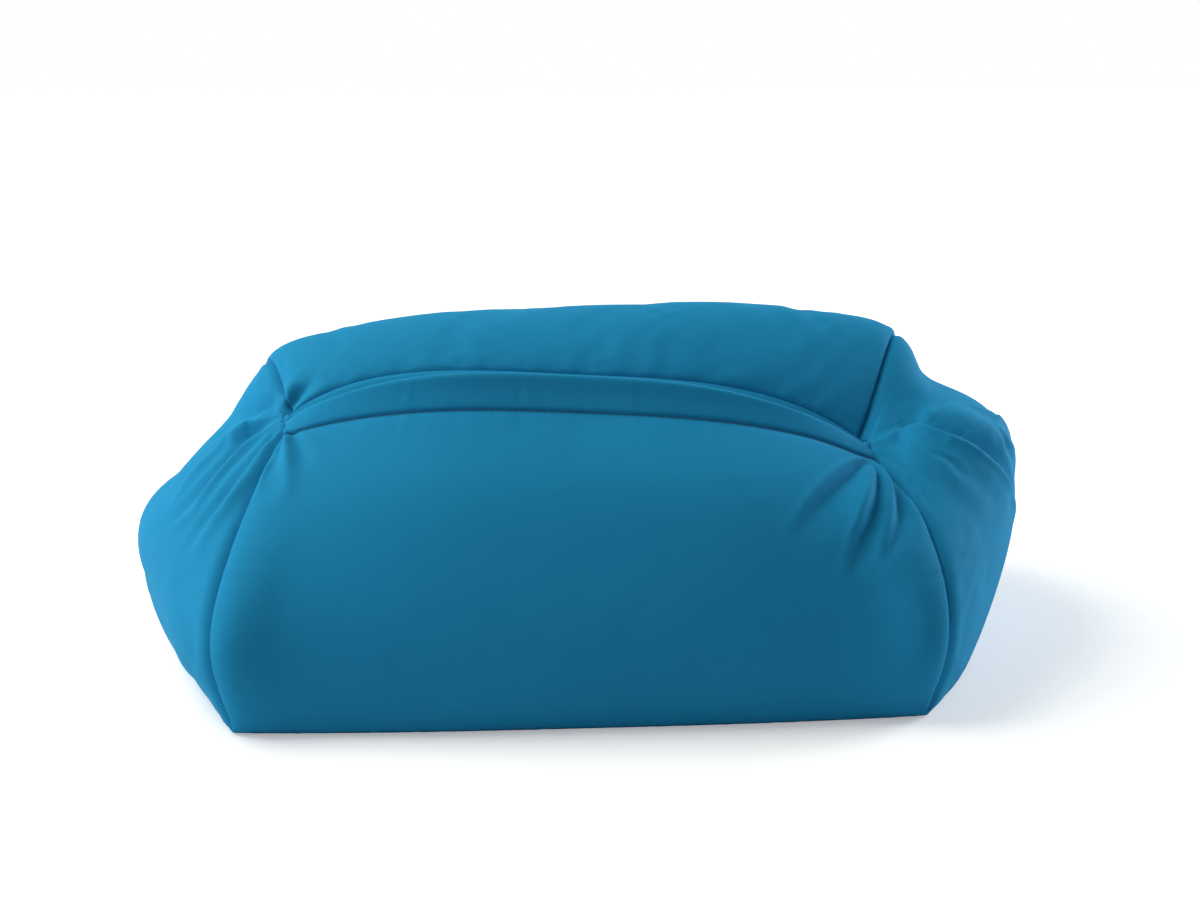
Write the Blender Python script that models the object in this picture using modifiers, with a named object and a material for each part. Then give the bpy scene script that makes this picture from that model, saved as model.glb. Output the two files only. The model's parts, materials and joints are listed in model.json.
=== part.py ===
"""Beanbag tablet stand: a stuffed, sewn cushion with a slanted pocket that a tablet stands in.

The cover, the inner bag and the bead filling are nested layers of one soft skin. A coarse cage is smoothed by
subdivision and settled until it passes through the bag's own measured points. Each layer is that skin moved
inwards, and each sewn panel is the part of it that lies between seams. A filling zip is set low in the back.

Units are metres. +Z is up, the pocket's lip faces -Y, and the origin is on the floor under the middle.
"""

import math

import bmesh
import bpy
import numpy as np
from mathutils import Matrix, Vector
from mathutils.bvhtree import BVHTree

MM = 0.001

# The base, flat on the floor
BASE_WIDTH = 320 * MM
BASE_DEPTH = 228 * MM
BASE_LEFT_BOW = 27 * MM
BASE_RIGHT_BOW = 47 * MM
BASE_FRONT_BOW = 5 * MM

# The front, from the base up to the lip of the pocket
FRONT_BELLY_Y = -136 * MM
FRONT_BELLY_HEIGHT = 36 * MM
FRONT_SHOULDER_Y = -102 * MM
FRONT_SHOULDER_HEIGHT = 116 * MM
LIP_Y = -44 * MM
LIP_HEIGHT = 149.5 * MM
HEM_WIDTH = 17 * MM
HEM_CORNER_WIDTH = 12 * MM
HEM_LEAN = math.radians(29)

# The back, from the base over the crest and down to the pocket's back edge
BACK_BELLY_Y = 136 * MM
BACK_BELLY_HEIGHT = 56 * MM
CREST_SHOULDER_Y = 112 * MM
CREST_Y = 40 * MM
CREST_HEIGHT = 166 * MM
REST_HEIGHT = 143 * MM

# The two ends, each with a plump ear that stands out sideways
LEFT_EAR_REACH = 225 * MM
LEFT_EAR_Y = 14 * MM
LEFT_EAR_HEIGHT = 61 * MM
LEFT_EAR_ROUNDNESS = 0.05
RIGHT_EAR_REACH = 226 * MM
RIGHT_EAR_Y = 20 * MM
RIGHT_EAR_HEIGHT = 109 * MM
RIGHT_EAR_ROUNDNESS = 0.18
LEFT_CREST_X = -154 * MM
LEFT_CREST_Y = 32 * MM
LEFT_CREST_HEIGHT = 144 * MM
RIGHT_CREST_X = 170 * MM
RIGHT_CREST_Y = 30 * MM
RIGHT_CREST_HEIGHT = 153 * MM
LEFT_SEAM_REACH = 166 * MM
LEFT_SEAM_HEIGHT = 59 * MM
RIGHT_SEAM_REACH = 167 * MM
RIGHT_SEAM_HEIGHT = 67 * MM
FRONT_SEAM_Y = -106 * MM
FRONT_SEAM_ROUNDNESS = 0.2
LEFT_BACK_SEAM_REACH = 177 * MM
LEFT_BACK_SEAM_HEIGHT = 70 * MM
RIGHT_BACK_SEAM_REACH = 190 * MM
RIGHT_BACK_SEAM_HEIGHT = 82 * MM
BACK_SEAM_Y = 112 * MM
BACK_SEAM_ROUNDNESS = 0.25

# The pocket, which leans back from its foot to its mouth
MOUTH_WIDTH = 282 * MM
MOUTH_SHIFT = 3 * MM
MOUTH_CORNER_GAP = 14 * MM
END_TOP_WIDTH = 33 * MM
LEFT_CORNER_HEIGHT = 127 * MM
RIGHT_CORNER_HEIGHT = 110 * MM
POCKET_LEAN = math.radians(8)
POCKET_GAP = 26 * MM
POCKET_FOOT_Y = -38 * MM
POCKET_FOOT_HEIGHT = 17 * MM
POCKET_FOOT_GAP = 20 * MM
POCKET_FOOT_WIDTH = 256 * MM
THROAT_WIDTH = 264 * MM
THROAT_END_GAP = 10 * MM

# How plump the panels are between their seams: a higher power is flatter with a quicker turn at the seam
FRONT_PUFF = 3.0
BACK_PUFF = 4.0
END_PUFF = 1.8

# The cage: its columns across a long side and an end, and its rows up the outside and down the pocket
LONG_SHARES = (0.0, 0.1, 0.28, 0.5, 0.72, 0.9)
END_SHARES = (0.0, 0.24, 0.5, 0.76)
ROW_SHARES = (0.0, 0.26, 0.52, 0.76)
POCKET_SHARES = (0.07, 0.45, 1.0)
SUBDIVISIONS = 1
SETTLING_ROUNDS = 8
CURVE_STEPS = 64

# Cloth and the clearances between layers and along seams
COVER_CLOTH = 1.0 * MM
BAG_CLOTH = 0.4 * MM
LAYER_GAP = 0.35 * MM
SEAM_GAP = 0.4 * MM
MITRE_LIMIT = 0.2
THREAD_RADIUS = 0.35 * MM
THREAD_GAP = 0.3 * MM

# The filling zip, which lies level in the back panel
ZIP_HEIGHT = 23 * MM
ZIP_LENGTH = 200 * MM
ZIP_GAP = 0.3 * MM
TAPE_WIDTH = 7.5 * MM
TAPE_THICKNESS = 0.5 * MM
TAPE_OVERHANG = 6 * MM
TAPE_GAP = 1.1 * MM
TOOTH_PITCH = 2.5 * MM
TOOTH_LENGTH = 1.0 * MM
TOOTH_WIDTH = 1.5 * MM
TEETH_SPINE = 0.8 * MM
TEETH_THICKNESS = 1.8 * MM
TEETH_SLOT = 1.2 * MM
STOP_LENGTH = 2.5 * MM
SLIDER_LENGTH = 11 * MM
SLIDER_WIDTH = 9 * MM
SLIDER_PLATE = 1.4 * MM
SLIDER_POST_LENGTH = 1.5 * MM
SLIDER_SIDE_GAP = 0.5 * MM
BRIDGE_INSET = 1.2 * MM
BRIDGE_WIDTH = 2.2 * MM
BRIDGE_THICKNESS = 1.0 * MM
PULL_LENGTH = 24 * MM
PULL_WIDTH = 7 * MM
PULL_THICKNESS = 1.2 * MM
PULL_BAR = 1.6 * MM
PULL_ROUNDING = 2.4 * MM
PULL_CLEARANCE = 0.5 * MM
PULL_SIDE_GAP = 0.8 * MM
PULL_END_GAP = 1.9 * MM
ZIP_WELL_GAP = 1.8 * MM
ZIP_WELL_EASE = 28 * MM

# What follows from these sizes: how deep the layers and the zip's pieces lie, and the room around them
TAPE_DEPTH = COVER_CLOTH + TAPE_GAP
TEETH_DEPTH = TAPE_DEPTH + TAPE_THICKNESS / 2
TEETH_EDGE = TEETH_SLOT / 2 + TOOTH_LENGTH + TEETH_SPINE
SLIDER_ROOM = TEETH_THICKNESS / 2 + ZIP_GAP
ZIP_SLIT = SLIDER_WIDTH + 2 * SLIDER_SIDE_GAP
BAG_DEPTH = COVER_CLOTH + LAYER_GAP
BEAD_DEPTH = BAG_DEPTH + BAG_CLOTH + LAYER_GAP
ZIP_WELL_DEPTH = TEETH_DEPTH + SLIDER_ROOM + SLIDER_PLATE + ZIP_WELL_GAP - BAG_DEPTH

LONG_CELLS = len(LONG_SHARES)
END_CELLS = len(END_SHARES)
COLUMNS = 2 * (LONG_CELLS + END_CELLS)
BACK_START = LONG_CELLS + END_CELLS
BACK_END = BACK_START + LONG_CELLS
HEM_ROW = len(ROW_SHARES)
MOUTH_ROW = HEM_ROW + 1


def mix(start, end, share):
    return start * (1 - share) + end * share


def point(x, y, z):
    return np.array((x, y, z), dtype=float)


def bezier(start, first_handle, second_handle, end):
    """A finely divided cubic curve."""
    t = np.linspace(0, 1, CURVE_STEPS + 1)[:, None]
    return (
        (1 - t) ** 3 * start
        + 3 * (1 - t) ** 2 * t * first_handle
        + 3 * (1 - t) * t**2 * second_handle
        + t**3 * end
    )


def arch(start, middle, end, roundness):
    """A curve from start to end whose middle is given; a small roundness makes a sharper turn there."""
    handle = (8 * middle - start - end) / 6
    spread = roundness * (end - start)
    return bezier(start, handle - spread, handle + spread, end)


def rows_along(curve, top_gap):
    """The row points up a curve: the row shares, a row that stays top_gap below the end, and the end."""
    lengths = np.concatenate(([0], np.cumsum(np.linalg.norm(np.diff(curve, axis=0), axis=1))))
    wanted = np.append(np.array(ROW_SHARES) * lengths[-1], (lengths[-1] - top_gap, lengths[-1]))
    return np.stack([np.interp(wanted, lengths, curve[:, axis]) for axis in range(3)], axis=1)


def pocket_y(height):
    """The pocket's mid plane, which leans back."""
    return POCKET_FOOT_Y + (height - POCKET_FOOT_HEIGHT) * math.tan(POCKET_LEAN)


def mouth_corner(side, height, across):
    """A point on an end of the pocket's mouth; across runs from -1 at the front to 1 at the back."""
    bow = (1 - across**2) * MOUTH_CORNER_GAP / 4
    x = MOUTH_SHIFT + side * (MOUTH_WIDTH / 2 + bow)
    return point(x, pocket_y(height) + across * MOUTH_CORNER_GAP / 2, height)


def front_middle_rows():
    front = -BASE_DEPTH / 2 - BASE_FRONT_BOW
    lip = point(0, LIP_Y, LIP_HEIGHT)
    curve = bezier(
        point(0, front, 0),
        point(0, (4 * FRONT_BELLY_Y - front) / 3, FRONT_BELLY_HEIGHT),
        point(0, FRONT_SHOULDER_Y, FRONT_SHOULDER_HEIGHT),
        lip - HEM_WIDTH * point(0, math.sin(HEM_LEAN), math.cos(HEM_LEAN)),
    )
    return np.vstack((rows_along(curve, 0)[:-1], lip))


def over_the_crest(curve, mouth):
    """Rows up a back curve that ends on the crest, and the last one on the pocket's back edge."""
    return np.vstack((rows_along(curve, 0)[:-1], mouth))


def back_middle_rows():
    back = BASE_DEPTH / 2
    curve = bezier(
        point(0, back, 0),
        point(0, (4 * BACK_BELLY_Y - back) / 3, BACK_BELLY_HEIGHT),
        point(0, CREST_SHOULDER_Y, CREST_HEIGHT),
        point(0, CREST_Y, CREST_HEIGHT),
    )
    return over_the_crest(curve, point(0, pocket_y(REST_HEIGHT) + POCKET_GAP / 2, REST_HEIGHT))


def end_rows(side, base_bow, corner_height, front_bow, back_bow, ear, ear_roundness, crest):
    """Rows up the front seam, the middle and the back seam of one end panel."""
    x, y = BASE_WIDTH / 2, BASE_DEPTH / 2
    front_seam = arch(
        point(side * x, -y, 0),
        front_bow,
        mouth_corner(side, corner_height, -1),
        FRONT_SEAM_ROUNDNESS,
    )
    middle = arch(
        point(side * (x + base_bow), 0, 0), ear, mouth_corner(side, corner_height, 0), ear_roundness
    )
    back_seam = arch(
        point(side * x, y, 0),
        back_bow,
        crest,
        BACK_SEAM_ROUNDNESS,
    )
    return (
        rows_along(front_seam, HEM_CORNER_WIDTH),
        rows_along(middle, END_TOP_WIDTH),
        over_the_crest(back_seam, mouth_corner(side, corner_height, 1)),
    )


def span(start, middle, end, shares, puff):
    """Columns from one seam towards the next, which swell out to the middle column between them."""
    bow = middle - mix(start, end, 0.5)
    return [mix(start, end, share) + bow * (1 - abs(2 * share - 1) ** puff) for share in shares]


def outside_rows():
    """Rings of target points up the outside of the bag, from the base to the mouth."""
    left_front, left_middle, left_back = end_rows(
        -1,
        BASE_LEFT_BOW,
        LEFT_CORNER_HEIGHT,
        point(-LEFT_SEAM_REACH, FRONT_SEAM_Y, LEFT_SEAM_HEIGHT),
        point(-LEFT_BACK_SEAM_REACH, BACK_SEAM_Y, LEFT_BACK_SEAM_HEIGHT),
        point(-LEFT_EAR_REACH, LEFT_EAR_Y, LEFT_EAR_HEIGHT),
        LEFT_EAR_ROUNDNESS,
        point(LEFT_CREST_X, LEFT_CREST_Y, LEFT_CREST_HEIGHT),
    )
    right_front, right_middle, right_back = end_rows(
        1,
        BASE_RIGHT_BOW,
        RIGHT_CORNER_HEIGHT,
        point(RIGHT_SEAM_REACH, FRONT_SEAM_Y, RIGHT_SEAM_HEIGHT),
        point(RIGHT_BACK_SEAM_REACH, BACK_SEAM_Y, RIGHT_BACK_SEAM_HEIGHT),
        point(RIGHT_EAR_REACH, RIGHT_EAR_Y, RIGHT_EAR_HEIGHT),
        RIGHT_EAR_ROUNDNESS,
        point(RIGHT_CREST_X, RIGHT_CREST_Y, RIGHT_CREST_HEIGHT),
    )
    columns = np.array(
        span(left_front, front_middle_rows(), right_front, LONG_SHARES, FRONT_PUFF)
        + span(right_front, right_middle, right_back, END_SHARES, END_PUFF)
        + span(right_back, back_middle_rows(), left_back, LONG_SHARES, BACK_PUFF)
        + span(left_back, left_middle, left_front, END_SHARES, END_PUFF)
    )
    # The zip holds the low back straight, so its two lowest rows each lie in one upright plane
    low_back = columns[BACK_START : BACK_END + 1, :2, 1]
    low_back[:] = low_back.mean(axis=0)
    return columns.transpose(1, 0, 2)


def foot_ring():
    """The edge of the pocket's floor."""
    x = POCKET_FOOT_WIDTH / 2
    front, back = POCKET_FOOT_Y - POCKET_FOOT_GAP / 2, POCKET_FOOT_Y + POCKET_FOOT_GAP / 2
    places = ((-x, front), (x, front), (x, back), (-x, back))
    corners = [point(*place, POCKET_FOOT_HEIGHT) for place in places]
    sides = zip(corners, corners[1:] + corners[:1], (LONG_SHARES, END_SHARES) * 2)
    return np.array([mix(start, end, share) for start, end, shares in sides for share in shares])


def pocket_rows(mouth):
    """Rings of target points down the pocket's walls, from its throat under the lip to the floor's edge."""
    throat = mouth.copy()
    throat[:, 0] *= THROAT_WIDTH / MOUTH_WIDTH
    to_back = 2 * np.array(END_SHARES) - 1
    across = np.concatenate((-np.ones(LONG_CELLS), to_back, np.ones(LONG_CELLS), -to_back))
    gap = np.full(COLUMNS, THROAT_END_GAP)
    gap[1:LONG_CELLS] = gap[BACK_START + 1 : BACK_END] = POCKET_GAP
    throat[:, 1] = pocket_y(throat[:, 2]) + across * gap / 2
    return np.array([mix(throat, foot_ring(), share) for share in POCKET_SHARES])


def patch_indices(ring):
    """Indices of a grid whose border is a ring of cage columns, with -1 for the points inside it."""
    grid = np.full((LONG_CELLS + 1, END_CELLS + 1), -1)
    grid[:, 0] = ring[: LONG_CELLS + 1]
    grid[-1, :] = ring[LONG_CELLS : BACK_START + 1]
    grid[:, -1] = ring[BACK_START : BACK_END + 1][::-1]
    grid[0, 1:] = ring[BACK_END:][::-1]
    return grid


def patch_points(border):
    """Fill in a grid of points from its border, as a surface stretched between four curves."""
    u = np.linspace(0, 1, border.shape[0])[:, None, None]
    v = np.linspace(0, 1, border.shape[1])[None, :, None]
    across = mix(border[:1], border[-1:], u)
    along = mix(border[:, :1], border[:, -1:], v)
    corners = mix(mix(border[:1, :1], border[-1:, :1], u), mix(border[:1, -1:], border[-1:, -1:], u), v)
    return across + along - corners


def panel_of(row, column):
    """The panel that the cage face above this row and right of this column belongs to."""
    front_half = column < LONG_CELLS + END_CELLS // 2 or column >= BACK_END + END_CELLS // 2
    if column < LONG_CELLS and row in (HEM_ROW, MOUTH_ROW):
        return "pocket_hem", front_half
    if row >= MOUTH_ROW:
        return "pocket_front_lining" if front_half else "pocket_back_lining", front_half
    if column < LONG_CELLS:
        return "front_panel", front_half
    if column < BACK_START:
        return "right_end_panel", front_half
    if column < BACK_END:
        return "back_panel", front_half
    return "left_end_panel", front_half


def cage():
    """The cage's points and faces, each face's panel and half, the outside rings and the floor's ring."""
    outside = outside_rows()
    rings = np.concatenate((outside, pocket_rows(outside[-1])))
    points = list(rings.reshape(-1, 3))
    index = np.arange(len(points)).reshape(len(rings), COLUMNS)
    faces, labels = [], []
    for row in range(len(rings) - 1):
        for column in range(COLUMNS):
            right = (column + 1) % COLUMNS
            low, high = index[row], index[row + 1]
            faces.append((low[column], low[right], high[right], high[column]))
            labels.append(panel_of(row, column))
    patches = (
        (index[0], "base_panel", "base_panel", -1),
        (index[-1], "pocket_front_lining", "pocket_back_lining", 1),
    )
    for ring, front_name, back_name, turn in patches:
        grid = patch_indices(ring)
        surface = patch_points(np.array(points)[grid])
        for i, j in np.argwhere(grid < 0):
            grid[i, j] = len(points)
            points.append(surface[i, j])
        for i in range(LONG_CELLS):
            for j in range(END_CELLS):
                corners = (grid[i, j], grid[i + 1, j], grid[i + 1, j + 1], grid[i, j + 1])
                front_half = j < END_CELLS // 2
                faces.append(corners[::turn])
                labels.append((front_name if front_half else back_name, front_half))
    return np.array(points), np.array(faces), labels, index[: len(outside)], index[-1]


def crease_rings(mesh, rings):
    """Make the given closed rings of cage edges sharp, and their corners too."""
    sharp = {frozenset(pair) for ring in rings for pair in zip(ring.tolist(), np.roll(ring, -1).tolist())}
    crease = mesh.attributes.new("crease_edge", "FLOAT", "EDGE")
    crease.data.foreach_set("value", [float(frozenset(edge.vertices) in sharp) for edge in mesh.edges])
    corners = {int(ring[column]) for ring in rings for column in (0, LONG_CELLS, BACK_START, BACK_END)}
    corner_crease = mesh.attributes.new("crease_vert", "FLOAT", "POINT")
    corner_crease.data.foreach_set("value", [float(vertex.index in corners) for vertex in mesh.vertices])


def evaluated_points(cage_object):
    """The smooth mesh of the cage and its points."""
    depsgraph = bpy.context.evaluated_depsgraph_get()
    smooth = bpy.data.meshes.new_from_object(cage_object.evaluated_get(depsgraph))
    points = np.empty(len(smooth.vertices) * 3)
    smooth.vertices.foreach_get("co", points)
    return smooth, points.reshape(-1, 3)


def mitre(directions, distances):
    """The shortest move that goes each distance along its direction."""
    return np.linalg.lstsq(np.array(directions), np.array(distances), rcond=MITRE_LIMIT)[0]


def split_quads(points, quads):
    """Two triangles for each quad, split along its shorter diagonal, so that all layers bend alike."""
    first, second = (np.linalg.norm(points[quads[:, i]] - points[quads[:, i + 2]], axis=1) for i in (0, 1))
    turned = np.where((first <= second)[:, None], quads, np.roll(quads, -1, axis=1))
    return np.stack((turned[:, (0, 1, 2)], turned[:, (0, 2, 3)]), axis=1).reshape(-1, 3)


class Skin:
    """The bag's smooth outer skin: points, faces, the panel and half of each face, and the way inwards."""

    def __init__(self, construction):
        targets, faces, labels, outside_rings, floor_ring = cage()
        mesh = bpy.data.meshes.new("bag_cage")
        mesh.from_pydata(targets.tolist(), [], faces.tolist())
        crease_rings(mesh, (outside_rings[0], floor_ring))
        cage_object = bpy.data.objects.new("bag_cage", mesh)
        cage_object.hide_render = True
        cage_object.display_type = "WIRE"
        construction.objects.link(cage_object)
        smoothing = cage_object.modifiers.new("smoothing", "SUBSURF")
        smoothing.levels = smoothing.render_levels = SUBDIVISIONS

        places = targets.copy()
        for _ in range(SETTLING_ROUNDS):
            mesh.vertices.foreach_set("co", places.ravel())
            mesh.update()
            smooth, self.points = evaluated_points(cage_object)
            # The narrow pocket keeps its cage, because settling it would ripple its walls
            outside = outside_rings.ravel()
            places[outside] += targets[outside] - self.points[outside]
        # The origin is on the floor under the middle of the bag
        self.points[:, :2] -= (self.points[:, :2].min(axis=0) + self.points[:, :2].max(axis=0)) / 2

        quads = np.array([polygon.vertices[:] for polygon in smooth.polygons])
        self.faces = split_quads(self.points, quads)
        self.labels = [labels[face // (2 * 4**SUBDIVISIONS)] for face in range(len(self.faces))]
        corners = self.points[self.faces]
        across = np.cross(corners[:, 1] - corners[:, 0], corners[:, 2] - corners[:, 0])
        self.face_normals = across / np.linalg.norm(across, axis=1, keepdims=True)
        self.face_centres = corners.mean(axis=1)
        self.edge_faces = {}
        around = [[] for _ in self.points]
        for number, face in enumerate(self.faces.tolist()):
            for start, end in zip(face, face[1:] + face[:1]):
                self.edge_faces.setdefault(frozenset((start, end)), []).append(number)
                around[start].append(number)
        self.inwards = np.array([mitre(-self.face_normals[near], np.ones(len(near))) for near in around])
        self.tree = BVHTree.FromPolygons(self.points.tolist(), self.faces.tolist())

    def layer(self, depth, zip_well=0.0):
        """The skin moved inwards; zip_well moves it further where the filling zip needs room."""
        room = zip_well * zip_share(self.points)
        return self.points + self.inwards * (depth + room)[:, None]

    def seam_shifts(self, chosen):
        """How far each point on the border of the chosen faces draws back from the seam there."""
        chosen_set = set(chosen)
        pulls = {}
        for edge, sides in self.edge_faces.items():
            inner = [face for face in sides if face in chosen_set]
            if len(inner) != 1:
                continue
            start, end = edge
            face = inner[0]
            along = self.points[end] - self.points[start]
            pull = np.cross(self.face_normals[face], along)
            pull *= np.sign(pull @ (self.face_centres[face] - self.points[start])) / np.linalg.norm(pull)
            names = {self.labels[side][0] for side in sides}
            groove = THREAD_RADIUS + THREAD_GAP if names == {"front_panel", "pocket_hem"} else SEAM_GAP / 2
            for vertex in edge:
                pulls.setdefault(vertex, []).append((pull, groove))
        shifts = np.zeros_like(self.points)
        for vertex, found in pulls.items():
            shifts[vertex] = mitre([pull for pull, _ in found], [groove for _, groove in found])
        return shifts

    def sheet(self, name, chosen, outer_depth, inner_depth, zip_well=0.0):
        """A closed mesh of the chosen faces between two depths; its wall follows the whole skin's mitres."""
        shifts = self.seam_shifts(chosen)
        outer = self.layer(outer_depth, zip_well) + shifts
        inner = self.layer(inner_depth, zip_well) + shifts
        used = np.unique(self.faces[chosen])
        new_index = np.full(len(self.points), -1)
        new_index[used] = np.arange(len(used))
        front = new_index[self.faces[chosen]]
        back = front[:, ::-1] + len(used)
        chosen_edges = {}
        for face in front.tolist():
            for start, end in zip(face, face[1:] + face[:1]):
                chosen_edges[(start, end)] = True
        border = [edge for edge in chosen_edges if edge[::-1] not in chosen_edges]
        rim = [(end, start, start + len(used), end + len(used)) for start, end in border]
        mesh = bpy.data.meshes.new(name)
        points = np.vstack((outer[used], inner[used]))
        mesh.from_pydata(points.tolist(), [], front.tolist() + back.tolist() + rim)
        return mesh

    def faces_in(self, panel=None, front_half=None):
        """The faces of one panel, or of one half of the bag."""
        return [
            number
            for number, (name, is_front) in enumerate(self.labels)
            if panel in (None, name) and front_half in (None, is_front)
        ]


def zip_share(points):
    """How fully each skin point lies behind the zip: 1 there, easing to 0 around it."""
    past_end = np.abs(points[:, 0]) - ZIP_LENGTH / 2 - TAPE_OVERHANG
    past_edge = np.abs(points[:, 2] - ZIP_HEIGHT) - TEETH_EDGE - TAPE_WIDTH
    share = np.clip(1 - np.maximum(past_end, past_edge) / ZIP_WELL_EASE, 0, 1)
    return np.where(points[:, 1] > 0, share, 0)


def material(name, colour, roughness, metallic=0.0):
    """A Principled material; the colour is an sRGB hex value."""
    channels = [int(colour[start : start + 2], 16) / 255 for start in (1, 3, 5)]
    linear = [value / 12.92 if value <= 0.04045 else ((value + 0.055) / 1.055) ** 2.4 for value in channels]
    made = bpy.data.materials.new(name)
    made.use_nodes = True
    shader = made.node_tree.nodes["Principled BSDF"]
    shader.inputs["Base Color"].default_value = (*linear, 1)
    shader.inputs["Roughness"].default_value = roughness
    shader.inputs["Metallic"].default_value = metallic
    return made


def add(collection, name, data, surface, parent=None, place=Matrix.Identity(4)):
    """An object with its material, under an optional parent; place is its matrix there."""
    made = bpy.data.objects.new(name, data)
    data.materials.append(surface)
    collection.objects.link(made)
    made.parent = parent
    made.matrix_local = place
    return made


def box(name, low, high):
    """A box mesh between two corners."""
    low, high = Vector(low), Vector(high)
    bm = bmesh.new()
    fit = Matrix.Translation((low + high) / 2) @ Matrix.Diagonal((*(high - low), 1))
    bmesh.ops.create_cube(bm, size=1, matrix=fit)
    mesh = bpy.data.meshes.new(name)
    bm.to_mesh(mesh)
    bm.free()
    return mesh


def flat_outline(name, outlines, thickness):
    """A flat curve shape of the given thickness, centred on its plane; outlines after the first are holes."""
    curve = bpy.data.curves.new(name, "CURVE")
    curve.dimensions = "2D"
    curve.fill_mode = "BOTH"
    curve.extrude = thickness / 2
    for outline in outlines:
        spline = curve.splines.new("POLY")
        spline.points.add(len(outline) - 1)
        for vertex, (x, y) in zip(spline.points, outline):
            vertex.co = (x, y, 0, 1)
        spline.use_cyclic_u = True
    return curve


def boolean(target, operation, cutter):
    step = target.modifiers.new(operation.lower() + " " + cutter.name, "BOOLEAN")
    step.operation = operation
    step.object = cutter


def helper(collection, name, mesh, parent):
    """A hidden shape for a Boolean."""
    made = bpy.data.objects.new(name, mesh)
    made.hide_render = True
    made.display_type = "WIRE"
    collection.objects.link(made)
    made.parent = parent
    return made


def add_cover(parts, skin):
    """The sewn panels of the outer cover and of the pocket."""
    main_colour = "#2B93C8"
    other_colours = {"pocket_hem": "#2586B4", "base_panel": "#1C6A90", "pocket_front_lining": "#1F7FA5"}
    cover = {}
    for name in sorted({label for label, _ in skin.labels}):
        surface = material(name + "_knit", other_colours.get(name, main_colour), 0.85)
        cover[name] = add(parts, name, skin.sheet(name, skin.faces_in(panel=name), 0, COVER_CLOTH), surface)
    return cover


def add_filling(parts, skin):
    """The inner bag, sewn from a front and a back half, and the beads it holds."""
    cotton = material("inner_bag_cotton", "#E8E6DF", 0.9)
    for name, front_half in (("inner_bag_front", True), ("inner_bag_back", False)):
        faces = skin.faces_in(front_half=front_half)
        mesh = skin.sheet(name, faces, BAG_DEPTH, BAG_DEPTH + BAG_CLOTH, ZIP_WELL_DEPTH)
        add(parts, name, mesh, cotton)
    mesh = bpy.data.meshes.new("bead_fill")
    mesh.from_pydata(skin.layer(BEAD_DEPTH, ZIP_WELL_DEPTH).tolist(), [], skin.faces.tolist())
    add(parts, "bead_fill", mesh, material("polystyrene_beads", "#F4F4F2", 0.7))


def add_hem_thread(parts, skin):
    """The line of topstitching, which lies in the groove under the hem."""
    hem_edges = [
        edge
        for edge, sides in skin.edge_faces.items()
        if {skin.labels[side][0] for side in sides} == {"front_panel", "pocket_hem"}
    ]
    on_line = {vertex for edge in hem_edges for vertex in edge}
    line = sorted(on_line, key=lambda vertex: skin.points[vertex][0])
    route = (skin.points + skin.inwards * THREAD_RADIUS)[line]
    end_room = SEAM_GAP / 2 + THREAD_RADIUS + 2 * THREAD_GAP
    for end, neighbour in ((0, 1), (-1, -2)):
        step = route[neighbour] - route[end]
        route[end] += step / np.linalg.norm(step) * end_room
    curve = bpy.data.curves.new("hem_stitching", "CURVE")
    curve.dimensions = "3D"
    curve.bevel_depth = THREAD_RADIUS
    curve.bevel_resolution = 1
    curve.use_fill_caps = True
    spline = curve.splines.new("POLY")
    spline.points.add(len(route) - 1)
    for vertex, place in zip(spline.points, route):
        vertex.co = (*place, 1)
    add(parts, "hem_stitching", curve, material("polyester_thread", "#1B6C8E", 0.6))


def wall_frame(skin):
    """The zip's place on the back wall: x to the right seen from behind, y up the wall and z out of it."""
    inwards = Vector((0, -1, 0))
    low, middle, high = (
        skin.tree.ray_cast(Vector((0, BASE_DEPTH, ZIP_HEIGHT + step)), inwards)[0]
        for step in (-ZIP_SLIT, 0, ZIP_SLIT)
    )
    up = (high - low).normalized()
    right = Vector((-1, 0, 0))
    return Matrix.Translation(middle) @ Matrix((right, up, right.cross(up))).transposed().to_4x4()


def teeth_outline(side, phase):
    """A row of zip teeth on a spine; side is 1 above the slot and -1 below it."""
    tip, root = TEETH_SLOT / 2, TEETH_SLOT / 2 + TOOTH_LENGTH
    end = ZIP_LENGTH / 2 - STOP_LENGTH - 2 * ZIP_GAP
    outline = [(-end, root)]
    for tooth in range(int(2 * end / TOOTH_PITCH - phase)):
        left = -end + (tooth + phase) * TOOTH_PITCH
        right = left + TOOTH_WIDTH
        outline += [(left, root), (left, tip), (right, tip), (right, root)]
    outline += [(end, root), (end, TEETH_EDGE), (-end, TEETH_EDGE)]
    return [(x, side * y) for x, y in outline]


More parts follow.
